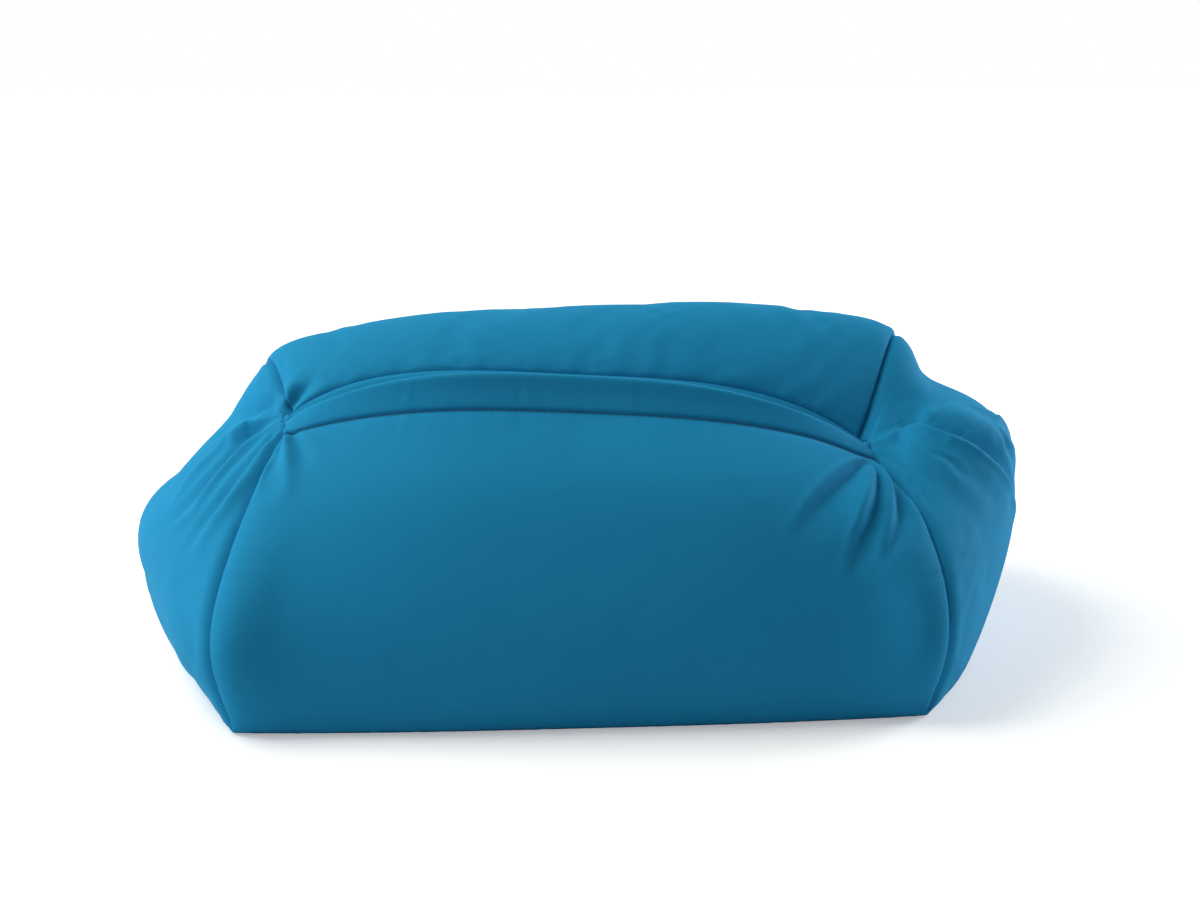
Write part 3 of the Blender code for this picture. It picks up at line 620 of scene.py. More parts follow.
def patch_indices(ring):
    """Indices of a grid whose border is a ring of cage columns, with -1 for the points inside it."""
    grid = np.full((LONG_CELLS + 1, END_CELLS + 1), -1)
    grid[:, 0] = ring[: LONG_CELLS + 1]
    grid[-1, :] = ring[LONG_CELLS : BACK_START + 1]
    grid[:, -1] = ring[BACK_START : BACK_END + 1][::-1]
    grid[0, 1:] = ring[BACK_END:][::-1]
    return grid


def patch_points(border):
    """Fill in a grid of points from its border, as a surface stretched between four curves."""
    u = np.linspace(0, 1, border.shape[0])[:, None, None]
    v = np.linspace(0, 1, border.shape[1])[None, :, None]
    across = mix(border[:1], border[-1:], u)
    along = mix(border[:, :1], border[:, -1:], v)
    corners = mix(mix(border[:1, :1], border[-1:, :1], u), mix(border[:1, -1:], border[-1:, -1:], u), v)
    return across + along - corners


def cage():
    """The cage's points and faces, the sites of their corners, the outside rings and the floor's ring."""
    outside = outside_rows()
    rings = np.concatenate((outside, pocket_rows(outside[-1])))
    points = list(rings.reshape(-1, 3))
    index = np.arange(len(points)).reshape(len(rings), COLUMNS)
    faces, sites = [], []
    for row in range(len(rings) - 1):
        for column in range(COLUMNS):
            right = (column + 1) % COLUMNS
            low, high = index[row], index[row + 1]
            faces.append((low[column], low[right], high[right], high[column]))
            sites.append([(column, row), (column + 1, row), (column + 1, row + 1), (column, row + 1)])
    for ring, first_site, turn in ((index[0], BASE_SITE, -1), (index[-1], FLOOR_SITE, 1)):
        grid = patch_indices(ring)
        surface = patch_points(np.array(points)[grid])
        for i, j in np.argwhere(grid < 0):
            grid[i, j] = len(points)
            points.append(surface[i, j])
        for i in range(LONG_CELLS):
            for j in range(END_CELLS):
                corners = [(i, j), (i + 1, j), (i + 1, j + 1), (i, j + 1)][::turn]
                faces.append([grid[corner] for corner in corners])
                sites.append([(first_site + column, row) for column, row in corners])
    return np.array(points), np.array(faces), np.array(sites, float), index[: len(outside)], index[-1]


def crease_rings(mesh, rings, sharpness):
    """Make the given closed rings of cage edges sharp, and their corners too."""
    sharp = {frozenset(pair) for ring in rings for pair in zip(ring.tolist(), np.roll(ring, -1).tolist())}
    creases = [sharpness * (frozenset(edge.vertices) in sharp) for edge in mesh.edges]
    mesh.attributes["crease_edge"].data.foreach_set("value", creases)
    corners = {int(ring[column]) for ring in rings for column in (0, LONG_CELLS, BACK_START, BACK_END)}
    corner_creases = [sharpness * (vertex.index in corners) for vertex in mesh.vertices]
    mesh.attributes["crease_vert"].data.foreach_set("value", corner_creases)
    mesh.update()


def numbers(items, field, width):
    """One field of all of a mesh's items, as rows of an array."""
    found = np.empty(len(items) * width)
    items.foreach_get(field, found)
    return found.reshape(-1, width)


def cubic_weights(share):
    """How much each of four neighbours in a row counts at a share of the way between the middle two."""
    square, cube = share**2, share**3
    return (
        (2 * square - share - cube) / 2,
        (3 * cube - 5 * square + 2) / 2,
        (4 * square + share - 3 * cube) / 2,
        (cube - square) / 2,
    )


def read_grid(grid, columns, rows, closed):
    """A grid's value at fractional columns and rows; a closed grid's last column is followed by its first."""
    height, width = grid.shape[:2]
    columns, rows = np.broadcast_arrays(columns, rows)
    first_column = np.floor(columns).astype(int)
    first_row = np.clip(np.floor(rows).astype(int), 0, height - 2)
    total = 0
    for down, down_weight in enumerate(cubic_weights(rows - first_row), -1):
        row = np.clip(first_row + down, 0, height - 1)
        for across, across_weight in enumerate(cubic_weights(columns - first_column), -1):
            column = first_column + across
            column = column % width if closed else np.clip(column, 0, width - 1)
            total = total + grid[row, column] * (down_weight * across_weight)[..., None]
    return total


def picture_ray(column, row):
    """The way that the camera looks through a pixel of the photograph."""
    way = Vector(CAMERA_WAY)
    right = way.cross(Vector((0, 0, 1))).normalized()
    up = right.cross(way)
    reach = CAMERA_LENS / CAMERA_SENSOR * PICTURE_WIDTH
    return way * reach + right * (column - PICTURE_WIDTH / 2) + up * (PICTURE_HEIGHT / 2 - row)


def fold_line(surface, spots):
    """A fold line's points on the skin, from pixels of the photograph and rough places in millimetres."""
    line = []
    for spot in spots:
        if len(spot) == 2:
            place = surface.ray_cast(Vector(CAMERA_PLACE), picture_ray(*spot))[0]
        else:
            place = surface.find_nearest(Vector(spot) * MM)[0]
        line.append(place)
    return np.array(line)


class Skin:
    """The bag's smooth outer skin, read at any column and row of its cage, and the fold lines on it."""

    def __init__(self):
        targets, faces, sites, outside_rings, floor_ring = cage()
        mesh = bpy.data.meshes.new("bag_cage")
        mesh.from_pydata(targets.tolist(), [], faces.tolist())
        mesh.uv_layers.new(name="sites").data.foreach_set("uv", sites.ravel())
        mesh.attributes.new("crease_edge", "FLOAT", "EDGE")
        mesh.attributes.new("crease_vert", "FLOAT", "POINT")
        rings = (outside_rings[0], floor_ring)
        crease_rings(mesh, rings, 1.0)
        self.cage_object = bpy.data.objects.new("bag_cage", mesh)
        bpy.context.scene.collection.objects.link(self.cage_object)
        smoothing = self.cage_object.modifiers.new("smoothing", "SUBSURF")
        smoothing.uv_smooth = "NONE"
        places = targets.copy()
        for _ in range(SETTLING_ROUNDS):
            mesh.vertices.foreach_set("co", places.ravel())
            mesh.update()
            points = numbers(self.smooth_mesh(SUBDIVISIONS).vertices, "co", 3)
            outside = outside_rings.ravel()
            places[outside] += targets[outside] - points[outside]
        low, high = points.min(axis=0), points.max(axis=0)
        self.centre = (low + high) / 2 * (1, 1, 0)
        # The stuffed cloth rolls under at the floor, where the plain panels have a sharp edge
        crease_rings(mesh, rings, EDGE_SHARPNESS)
        fine_mesh = self.smooth_mesh(FINE_LEVEL)
        self.places = self.grids(fine_mesh, "co", self.centre)
        self.ways = self.grids(fine_mesh, "normal", 0)
        self.moves = None
        corners = numbers(fine_mesh.vertices, "co", 3) - self.centre
        surface = BVHTree.FromPolygons(corners.tolist(), [face.vertices[:] for face in fine_mesh.polygons])
        self.folds = [(shape, fold_line(surface, spots)) for shape, spots in FOLDS.values()]

    def smooth_mesh(self, level):
        """The cage's mesh, subdivided that many times."""
        smoothing = self.cage_object.modifiers["smoothing"]
        smoothing.levels = smoothing.render_levels = level
        depsgraph = bpy.context.evaluated_depsgraph_get()
        source = self.cage_object.evaluated_get(depsgraph)
        return bpy.data.meshes.new_from_object(source, preserve_all_data_layers=True, depsgraph=depsgraph)

    def grids(self, mesh, field, centre):
        """A field of the mesh's points as three grids: the walls, the base and the pocket's floor."""
        values = numbers(mesh.vertices, field, 3) - centre
        return lay_out(mesh, values)

    def read(self, grids, patch, columns, rows):
        grid = grids[patch]
        steps = (grid.shape[0] - 1) / (FLOOR_ROW if patch == "walls" else END_CELLS)
        return read_grid(grid, np.asarray(columns) * steps, np.asarray(rows) * steps, patch == "walls")

    def at(self, patch, columns, rows):
        """Points and outward directions at these columns and rows."""
        points = self.read(self.places, patch, columns, rows)
        ways = self.read(self.ways, patch, columns, rows)
        ways /= np.linalg.norm(ways, axis=-1, keepdims=True)
        if self.moves:
            points = points + self.read(self.moves, patch, columns, rows)
        return points, ways


def lay_out(mesh, values):
    """Values at a subdivided cage's points, as one grid each for the walls, the base and the floor."""
    sites = numbers(mesh.uv_layers["sites"].data, "uv", 2)
    loops = numbers(mesh.loops, "vertex_index", 1)[:, 0].astype(int)
    steps = round(math.sqrt(len(mesh.polygons) / (FLOOR_ROW * COLUMNS + 2 * LONG_CELLS * END_CELLS)))
    grids = {}
    patches = (
        ("walls", 0, COLUMNS, FLOOR_ROW * steps + 1, COLUMNS * steps),
        ("base", BASE_SITE, LONG_CELLS, END_CELLS * steps + 1, LONG_CELLS * steps + 1),
        ("floor", FLOOR_SITE, LONG_CELLS, END_CELLS * steps + 1, LONG_CELLS * steps + 1),
    )
    for patch, first_site, cells, height, width in patches:
        here = (sites[:, 0] > first_site - SITE_SLACK) & (sites[:, 0] < first_site + cells + SITE_SLACK)
        column, row = np.rint((sites[here] - (first_site, 0)) * steps).astype(int).T
        grid = np.zeros((height, width, values.shape[1]))
        grid[row, column % width if patch == "walls" else column] = values[loops[here]]
        grids[patch] = grid
    return grids


def blurred(mesh, values, held):
    """Values at a mesh's points, evened out over their neighbours; the held points keep theirs."""
    starts, ends = numbers(mesh.edges, "vertices", 2).astype(int).T
    count = len(values)
    neighbours = np.bincount(starts, minlength=count) + np.bincount(ends, minlength=count)
    even = values.copy()
    for _ in range(CLOTH_BLUR_ROUNDS):
        total = [
            np.bincount(starts, even[ends, axis], count) + np.bincount(ends, even[starts, axis], count)
            for axis in range(3)
        ]
        even = (even + np.stack(total, axis=1) / neighbours[:, None]) / 2
        even[held] = values[held]
    return even


def cloth_moves(skin):
    """How far the push of the beads moves each point of the sewn skin, from a cloth simulation."""
    mesh = skin.smooth_mesh(CLOTH_LEVEL)
    rest = numbers(mesh.vertices, "co", 3)
    bag = bpy.data.objects.new("sewn_bag", mesh)
    bpy.context.scene.collection.objects.link(bag)
    sites = numbers(mesh.uv_layers["sites"].data, "uv", 2)
    loops = numbers(mesh.loops, "vertex_index", 1)[:, 0].astype(int)
    column, row = sites[:, 0] % COLUMNS, sites[:, 1]
    on_seam = np.isin(column, (0, LONG_CELLS, BACK_START, BACK_END)) | (row == 0) | (row >= MOUTH_ROW)
    on_seam |= (row >= HEM_ROW) & (column <= LONG_CELLS)
    held = sorted(set(loops[on_seam | (sites[:, 0] >= BASE_SITE)].tolist()))
    bag.vertex_groups.new(name="sewn").add(held, 1.0, "REPLACE")
    step = bag.modifiers.new("cloth", "CLOTH")
    cloth = step.settings
    cloth.vertex_group_mass = "sewn"
    cloth.quality = CLOTH_QUALITY
    cloth.mass = CLOTH_MASS
    cloth.tension_stiffness = cloth.compression_stiffness = CLOTH_TENSION
    cloth.shear_stiffness = CLOTH_SHEAR
    cloth.bending_stiffness = CLOTH_BENDING
    cloth.shrink_min = -CLOTH_EASE
    cloth.use_pressure = True
    cloth.uniform_pressure_force = CLOTH_PRESSURE
    cloth.effector_weights.gravity = 0
    step.collision_settings.use_collision = False
    step.point_cache.frame_end = CLOTH_FRAMES
    scene = bpy.context.scene
    for moment in range(1, CLOTH_FRAMES + 1):
        scene.frame_set(moment)
    settled = bag.evaluated_get(bpy.context.evaluated_depsgraph_get()).to_mesh()
    moves = numbers(settled.vertices, "co", 3) - rest
    scene.frame_set(1)
    # The bag is measured to its plump form already, so only the cloth's finer moves are kept
    moves -= blurred(mesh, moves, held)
    share = np.full(len(moves), CLOTH_SHARE_ENDS)
    share[loops[column <= LONG_CELLS]] = CLOTH_SHARE_FRONT
    share[loops[(column >= BACK_START) & (column <= BACK_END)]] = CLOTH_SHARE_BACK
    moves *= share[:, None]
    grids = lay_out(mesh, moves)
    bpy.data.objects.remove(bag)
    for grid in grids.values():
        length = np.linalg.norm(grid, axis=-1, keepdims=True) + 1e-9
        grid *= CLOTH_REACH * np.tanh(length / CLOTH_REACH) / length
    return grids


def graded(length, fine, coarse, reach):
    """Places from 0 to length that are fine apart at both ends and coarse apart from reach inwards."""
    s = np.linspace(0, length, GRADING_STEPS)
    near = np.clip(np.minimum(s, length - s) / reach, 0, 1)
    density = 1 / (fine + (coarse - fine) * near * near * (3 - 2 * near))
    count = np.concatenate(([0], np.cumsum((density[1:] + density[:-1]) / 2 * np.diff(s))))
    return np.interp(np.linspace(0, count[-1], math.ceil(count[-1]) + 1), count, s)


def run_along(points, axis):
    """Distances along a grid's lines from their start."""
    steps = np.linalg.norm(np.diff(points, axis=axis), axis=-1)
    start = np.zeros_like(np.take(steps, [0], axis=axis))
    return np.concatenate((start, np.cumsum(steps, axis=axis)), axis=axis)


def spaced(skin, patch, start, end, cross, along_rows):
    """Cage columns or rows whose places on the skin are graded from one seam to the next."""
    tries = np.linspace(start, end, SPACING_STEPS)
    if along_rows:
        points = skin.at(patch, np.full(SPACING_STEPS, cross), tries)[0]
    else:
        points = skin.at(patch, tries, np.full(SPACING_STEPS, cross))[0]
    run = run_along(points, 0)
    return np.interp(graded(run[-1], *CLOTH_SPACING), run, tries)


def waves(run, lengths, seed):
    """An uneven ripple along a seam, from -1 to 1, made of a few wave lengths."""
    chance = np.random.default_rng(seed)
    total = sum(np.sin(run / length * math.tau + chance.uniform(0, math.tau)) for length in lengths)
    turn = run / (lengths[-1] * PUCKER_SWELL_LENGTHS) * math.tau + chance.uniform(0, math.tau)
    swell = PUCKER_EVENNESS + (1 - PUCKER_EVENNESS) * np.sin(turn)
    return total * swell / len(lengths)


def fold_lift(folds, points, ways):
    """How far the folds lift each point of the skin; a crease presses it in and swells beside itself."""
    lift = np.zeros(points.shape[:-1])
    for (height, left_width, right_width, peak), line in folds:
        runs = run_along(line, 0)
        nearest = np.full(lift.shape, OUT_OF_REACH)
        share = np.zeros(lift.shape)
        on_left = np.zeros(lift.shape, bool)
        for start, end, run, next_run in zip(line[:-1], line[1:], runs[:-1], runs[1:]):
            along = end - start
            part = np.clip((points - start) @ along / (along @ along), 0, 1)
            gap = points - start - part[..., None] * along
            off_skin = (gap * ways).sum(axis=-1)
            flat = np.sqrt(np.maximum((gap**2).sum(axis=-1) - off_skin**2, 0))
            flat = np.where(np.abs(off_skin) > FOLD_REACH_OFF_SKIN, OUT_OF_REACH, flat)
            closer = flat < nearest
            nearest = np.where(closer, flat, nearest)
            share = np.where(closer, (run + part * (next_run - run)) / runs[-1], share)
            on_left = np.where(closer, (np.cross(ways, along) * gap).sum(axis=-1) > 0, on_left)
        fade = np.where(share < peak, share / peak, (1 - share) / (1 - peak))
        fade = np.sin(np.clip(fade, 0, 1) * math.pi / 2)
        # Folds crowd together at the corner that they start from
        spread = FOLD_PINCH + (1 - FOLD_PINCH) * np.clip(share * runs[-1] / FOLD_SPREAD, 0, 1)
        across = nearest / (np.where(on_left, left_width, right_width) * MM * spread)
        if height < 0:
            shape = np.exp(-(across**CREASE_SHARPNESS))
            shape -= CREASE_BANK * np.exp(-((across - CREASE_BANK_PLACE) ** 2))
        else:
            shape = np.exp(-(across**2))
        lift += height * MM * fade * shape
    return lift


def seam_lift(seams, gaps, runs, seed):
    """How far sewing presses the cloth in along its seams and lets it swell between them."""
    press = np.zeros(gaps[0].shape)
    swell = 0
    open_share = np.ones(gaps[0].shape)
    pucker = np.zeros(gaps[0].shape)
    for number, (kind, gap, run) in enumerate(zip(seams, gaps, runs)):
        depth, width, height, reach, ripple = SEAM_KINDS[kind]
        if not depth:
            continue
        gap, run = gap / MM, run / MM
        press = np.maximum(press, depth * np.exp(-((gap / width) ** PRESS_SHARPNESS)))
        open_share = open_share * (1 - np.exp(-((gap / reach) ** SWELL_SHARPNESS)))
        swell = max(swell, height)
        fan = gap / PUCKER_PEAK * np.exp(1 - gap / PUCKER_PEAK)
        pucker += ripple * fan * waves(run, PUCKER_LENGTHS, seed + number)
    return (SWELL_OVER_SKIN * swell - swell * (1 - open_share) - press + pucker) * MM


class Sheet:
    """A grid of cloth between four seams, with its relief worked in."""

    def __init__(self, skin, patch, columns, rows, seams, seed):
        middle_row, middle_column = (rows[0] + rows[1]) / 2, (columns[0] + columns[1]) / 2
        across = spaced(skin, patch, *columns, middle_row, False)
        up = spaced(skin, patch, *rows, middle_column, True)
        self.patch = patch
        self.columns, self.rows = np.meshgrid(across, up)
        points, self.ways = skin.at(patch, self.columns, self.rows)
        run_x, run_y = run_along(points, 1), run_along(points, 0)
        left, right = run_x, run_x[:, -1:] - run_x
        bottom, top = run_y, run_y[-1:] - run_y
        ends = (run_y[:, :1], run_y[:, -1:], run_x[:1], run_x[-1:])
        borders = [np.broadcast_to(run, run_x.shape) for run in ends]
        lift = seam_lift(seams, (left, right, bottom, top), borders, seed)
        lift += fold_lift(skin.folds, points, self.ways)
        self.points = points + self.ways * lift[..., None]
        self.points[..., 2] = np.maximum(self.points[..., 2], 0)
        self.cloth_map = np.stack(((left - right) / 2, bottom), axis=-1)
        kinds = [gap for kind, gap in zip(seams, (left, right, bottom, top)) if kind != "turned"]
        self.seam_gap = np.minimum.reduce(kinds) if kinds else np.full(left.shape, OUT_OF_REACH)

    def layer(self, depth, zip_well):
        """The sheet's points moved inwards, and further at the seams and where the filling zip needs room."""
        room = depth + zip_well * zip_share(self.points)
        room += SEAM_ROOM * np.exp(-self.seam_gap / SEAM_ROOM_REACH)
        return self.points - self.ways * room[..., None]

    def with_allowance(self):
        """The sheet with one more row all round, turned into the bag as its seam allowance."""
        edged = Sheet.__new__(Sheet)
        edged.patch = self.patch
        edged.columns, edged.rows = np.pad(self.columns, 1, "edge"), np.pad(self.rows, 1, "edge")
        edged.seam_gap = np.pad(self.seam_gap, 1, "edge")
        edged.points, edged.ways, edged.cloth_map = (
            np.pad(field, ((1, 1), (1, 1), (0, 0)), "edge")
            for field in (self.points, self.ways, self.cloth_map)
        )
        inside = np.zeros(edged.columns.shape, bool)
        inside[1:-1, 1:-1] = True
        edged.points = np.where(inside[..., None], edged.points, edged.points - edged.ways * SEAM_ALLOWANCE)
        return edged


def zip_share(points):
    """How fully each point lies behind the zip: 1 there, easing to 0 around it."""
    past_end = np.abs(points[..., 0]) - ZIP_LENGTH / 2 - TAPE_OVERHANG
    past_edge = np.abs(points[..., 2] - ZIP_HEIGHT) - TEETH_EDGE - TAPE_WIDTH
    share = np.clip(1 - np.maximum(past_end, past_edge) / ZIP_WELL_EASE, 0, 1)
    return np.where(points[..., 1] > 0, share, 0)


def cover_mesh(name, sheets):
    """One cover panel, whose edges turn in along its seams."""
    return cloth_mesh(name, [sheet.with_allowance() for sheet in sheets])


def cloth_mesh(name, sheets, depth=None, zip_well=0.0, stride=1, keep=None):
    """One mesh of several sheets, with the cloth's own map in metres and each point's distance from a seam.

    A depth makes it an inner layer, and a stride takes only every so many of the sheets' rows and columns.
    """
    points, faces, cloth_map, seam_gap = [], [], [], []
    total = 0
    for sheet in sheets:
        height, width = sheet.columns.shape
        down = np.unique(np.append(np.arange(0, height, stride), height - 1))
        across = np.unique(np.append(np.arange(0, width, stride), width - 1))
        pick = np.ix_(down, across)
        index = total + np.arange(len(down) * len(across)).reshape(len(down), len(across))
        quads = np.stack((index[:-1, :-1], index[:-1, 1:], index[1:, 1:], index[1:, :-1]), axis=-1)
        if keep:
            quads = quads[keep(sheet, sheet.columns[pick][:-1, :-1], sheet.rows[pick][:-1, :-1])]
        quads = quads.reshape(-1, 4)
        faces.append(quads[:, ::-1] if sheet.patch == "base" else quads)
        spots = sheet.points if depth is None else sheet.layer(depth, zip_well)
        points.append(spots[pick].reshape(-1, 3))
        cloth_map.append(sheet.cloth_map[pick].reshape(-1, 2))
        seam_gap.append(sheet.seam_gap[pick].ravel())
        total += index.size
    mesh = bpy.data.meshes.new(name)
    mesh.from_pydata(np.concatenate(points).tolist(), [], np.concatenate(faces).tolist())
    mesh.attributes.new("seam_gap", "FLOAT", "POINT").data.foreach_set("value", np.concatenate(seam_gap))
    loops = numbers(mesh.loops, "vertex_index", 1)[:, 0].astype(int)
    cloth_map = np.concatenate(cloth_map)[loops]
    mesh.uv_layers.new(name="cloth").data.foreach_set("uv", cloth_map.ravel())
    mesh.shade_smooth()
    return mesh


def zip_place():
    """The zip's frame on its teeth's plane: x to the right from behind, y up the wall and z out of it."""
    joints = {joint["name"]: joint for joint in frame["record"]["behaviour"]["joints"]}
    up = Vector(joints["pull_swing"]["axis"]).normalized()
    right = Vector((-1, 0, 0))
    out = right.cross(up)
    origin = Vector(joints["pull_swing"]["pos_m"]) - out * HINGE_HEIGHT
    origin.x = 0
    return Matrix.Translation(origin) @ Matrix((right, up, out)).transposed().to_4x4()


def moved(points, place):
    """An array of points taken through a matrix."""
    place = np.array(place)
    return points @ place[:3, :3].T + place[:3, 3]


def flatten(sheet, place):
    """Ease a sheet onto the flat wall round the zip."""
    local = moved(sheet.points, place.inverted())
    past_end = np.abs(local[..., 0]) - ZIP_LENGTH / 2 - ZIP_FLAT
    past_edge = np.abs(local[..., 1]) - ZIP_SLIT / 2 - ZIP_FLAT
    share = np.clip(1 - np.maximum(past_end, past_edge) / ZIP_FLAT_EASE, 0, 1)
    share = share * share * (3 - 2 * share)
    local[..., 2] += share * (TEETH_DEPTH - local[..., 2])
    sheet.points = moved(local, place)


def rectangle_gap(spot, half_x, half_y):
    """How far a point of the wall is outside a rectangle's line, or inside it where that is negative."""
    past_x, past_y = abs(spot.x) - half_x, abs(spot.y) - half_y
    outside = math.hypot(max(past_x, 0), max(past_y, 0))
    return outside or max(past_x, past_y)


def open_slit(mesh, place):
    """Cut the zip's slit into the back panel, sew the cloth down round it and roll its edge under."""
    half_x, half_y = ZIP_LENGTH / 2 + LIP_ROUNDING, ZIP_SLIT / 2 + LIP_ROUNDING
    to_zip = place.inverted()
    bm = bmesh.new()
    bm.from_mesh(mesh)

    def near(reach):
        """The faces whose middle lies within reach of the slit."""
        middles = ((face, to_zip @ face.calc_center_median()) for face in bm.faces)
        return [
            face
            for face, spot in middles
            if abs(spot.z) < ZIP_FLAT_EASE and rectangle_gap(spot, half_x, half_y) < reach
        ]

    edges = list({edge for face in near(ZIP_FLAT) for edge in face.edges})
    bmesh.ops.subdivide_edges(bm, edges=edges, cuts=2, use_grid_fill=True)
    for axis, distance in ((0, half_x), (0, -half_x), (1, half_y), (1, -half_y)):
        faces = near(ZIP_FLAT / 2)
        around = {edge for face in faces for edge in face.edges}
        around |= {vert for face in faces for vert in face.verts}
        start = place @ (Vector((axis == 0, axis == 1, 0)) * distance)
        across = place.col[axis].xyz
        bmesh.ops.bisect_plane(bm, geom=faces + list(around), dist=1e-7, plane_co=start, plane_no=across)
    bmesh.ops.delete(bm, geom=near(0), context="FACES")

    out = place.col[2].xyz
    stitched = STITCH_INSET
    flat = {vert for face in near(ZIP_FLAT - 2 * MM) for vert in face.verts}
    for vert in flat:
        gap = rectangle_gap(to_zip @ vert.co, half_x, half_y)
        groove = math.exp(-(((gap - stitched) / STITCH_GROOVE_WIDTH) ** 2))
        swell = math.sin(math.pi * min(max(gap / stitched, 0), 1))
        vert.co += out * (LIP_SWELL * swell - STITCH_GROOVE * groove)

    gap_layer = bm.verts.layers.float["seam_gap"]
    cloth_map = bm.loops.layers.uv["cloth"]
    turns = [step * math.pi / LIP_STEPS for step in range(1, LIP_STEPS + 1)]
    profile = [(LIP_ROUNDING * math.sin(turn), LIP_ROUNDING * (1 - math.cos(turn))) for turn in turns]
    profile.append((-LIP_TURNED_UNDER, 2 * LIP_ROUNDING))
    border = [
        edge
        for edge in bm.edges
        if edge.is_boundary
        and all(rectangle_gap(to_zip @ vert.co, half_x, half_y) < MM for vert in edge.verts)
    ]
    rolled = {}
    for vert in {vert for edge in border for vert in edge.verts}:
        spot = to_zip @ vert.co
        inwards = Vector((0, 0, 0))
        for axis, half in ((0, half_x), (1, half_y)):
            if abs(spot[axis]) > half - 0.01 * MM:
                inwards[axis] = -math.copysign(1, spot[axis])
        rolled[vert] = [vert]
        for inside, down in profile:
            made = bm.verts.new(place @ (spot + inwards * inside - Vector((0, 0, down))))
            made[gap_layer] = ROLLED_EDGE_GAP
            rolled[vert].append(made)
    for edge in border:
        loop = edge.link_loops[0]
        start, end = loop.vert, loop.link_loop_next.vert
        start_map, end_map = loop[cloth_map].uv.copy(), loop.link_loop_next[cloth_map].uv.copy()
        for step in range(len(profile)):
            upper = (rolled[end][step], rolled[start][step])
            lower = (rolled[start][step + 1], rolled[end][step + 1])
            face = bm.faces.new((*upper, *lower))
            face.smooth = True
            for corner, spot in zip(face.loops, (end_map, start_map, start_map, end_map)):
                corner[cloth_map].uv = spot + Vector((0, step * LIP_ROUNDING / 2))
    bm.to_mesh(mesh)
    bm.free()


def mesh_of(curve):
    """A curve's shape as a mesh whose caps are joined on."""
    holder = bpy.data.objects.new(curve.name, curve)
    bpy.context.scene.collection.objects.link(holder)
    depsgraph = bpy.context.evaluated_depsgraph_get()
    mesh = bpy.data.meshes.new_from_object(holder.evaluated_get(depsgraph))
    bpy.data.objects.remove(holder)
    bm = bmesh.new()
    bm.from_mesh(mesh)
    bmesh.ops.remove_doubles(bm, verts=bm.verts, dist=0.001 * MM)
    bm.to_mesh(mesh)
    bm.free()
    mesh.shade_smooth()
    mesh.set_sharp_from_angle(angle=SHARP_EDGE)
    return mesh


def thread_mesh(name, paths, radius):
    """Round threads along each path of points."""
    curve = bpy.data.curves.new(name, "CURVE")
    curve.dimensions = "3D"
    curve.bevel_depth = radius
    curve.bevel_resolution = THREAD_FINENESS
    curve.use_fill_caps = True
    for path in paths:
        spline = curve.splines.new("POLY")
        spline.points.add(len(path) - 1)
        for vertex, place in zip(spline.points, path):
            vertex.co = (*place, 1)
    return mesh_of(curve)


def flat_piece(name, outlines, thickness, rounding, place):
    """A flat piece with rounded edges; outlines after the first are holes, and place puts it on its plane."""
    curve = bpy.data.curves.new(name, "CURVE")
    curve.dimensions = "2D"
    curve.fill_mode = "BOTH"
    curve.extrude = thickness / 2 - rounding
    curve.bevel_depth = rounding
    curve.bevel_resolution = 2
    curve.offset = -rounding
    for outline in outlines:
        spline = curve.splines.new("POLY")
        spline.points.add(len(outline) - 1)
        for vertex, (x, y) in zip(spline.points, outline):
            vertex.co = (x, y, 0, 1)
        spline.use_cyclic_u = True
    mesh = mesh_of(curve)
    mesh.transform(place)
    return mesh


def joined(name, meshes):
    """Several meshes as one."""
    bm = bmesh.new()
    for mesh in meshes:
        bm.from_mesh(mesh)
    made = bpy.data.meshes.new(name)
    bm.to_mesh(made)
    bm.free()
    return made


def stitches(points, ways, end_gap):
    """The path of each stitch along a line on the cloth; a stitch dips into the cloth at both its ends."""
    run = run_along(points, 0)
    count = int((run[-1] - 2 * end_gap) / STITCH_PITCH)
    paths = []
    for number in range(count):
        start = end_gap + number * (run[-1] - 2 * end_gap) / count
        spots = start + STITCH_LENGTH * np.array(STITCH_SHARES)
        heights = STITCH_THREAD * np.array(STITCH_HEIGHTS)
        middle = [np.interp(spots, run, points[:, axis]) for axis in range(3)]
        out = [np.interp(spots, run, ways[:, axis]) for axis in range(3)]
        paths.append(np.stack(middle, axis=1) + np.stack(out, axis=1) * heights[:, None])
    return paths


def rectangle(start, end):
    """The four corners of a rectangle, from one of them round to the next."""
    return [start, (end[0], start[1]), end, (start[0], end[1])]


def arc_corners(corners, rounding):
    """An outline through convex corners, each cut back and rounded."""
    outline = []
    for before, corner, after in zip(corners[-1:] + corners[:-1], corners, corners[1:] + corners[:1]):
        corner, before, after = Vector(corner), Vector(before), Vector(after)
        start = corner + (before - corner).normalized() * rounding
        end = corner + (after - corner).normalized() * rounding
        for share in (step / CORNER_STEPS for step in range(CORNER_STEPS + 1)):
            outline.append(start.lerp(corner, share).lerp(corner.lerp(end, share), share)[:])
    return outline


def coil_path(side):
    """One half of the zip's nylon coil: a flattened helix whose loops' heads face the middle line."""
    end = ZIP_LENGTH / 2 - STOP_LENGTH - 2 * ZIP_GAP - COIL_PITCH
    turns = np.arange(int(2 * end / COIL_PITCH) * COIL_CORNERS) / COIL_CORNERS
    near, far = COIL_START + COIL_WIRE, TEETH_EDGE - COIL_WIRE
    x = -end + (turns + 0.25 * side) * COIL_PITCH
    y = side * ((near + far) / 2 - (far - near) / 2 * np.cos(turns * math.tau))
    z = (TEETH_THICKNESS / 2 - COIL_WIRE) * np.sin(turns * math.tau)
    return np.stack((x, y, z), axis=1)


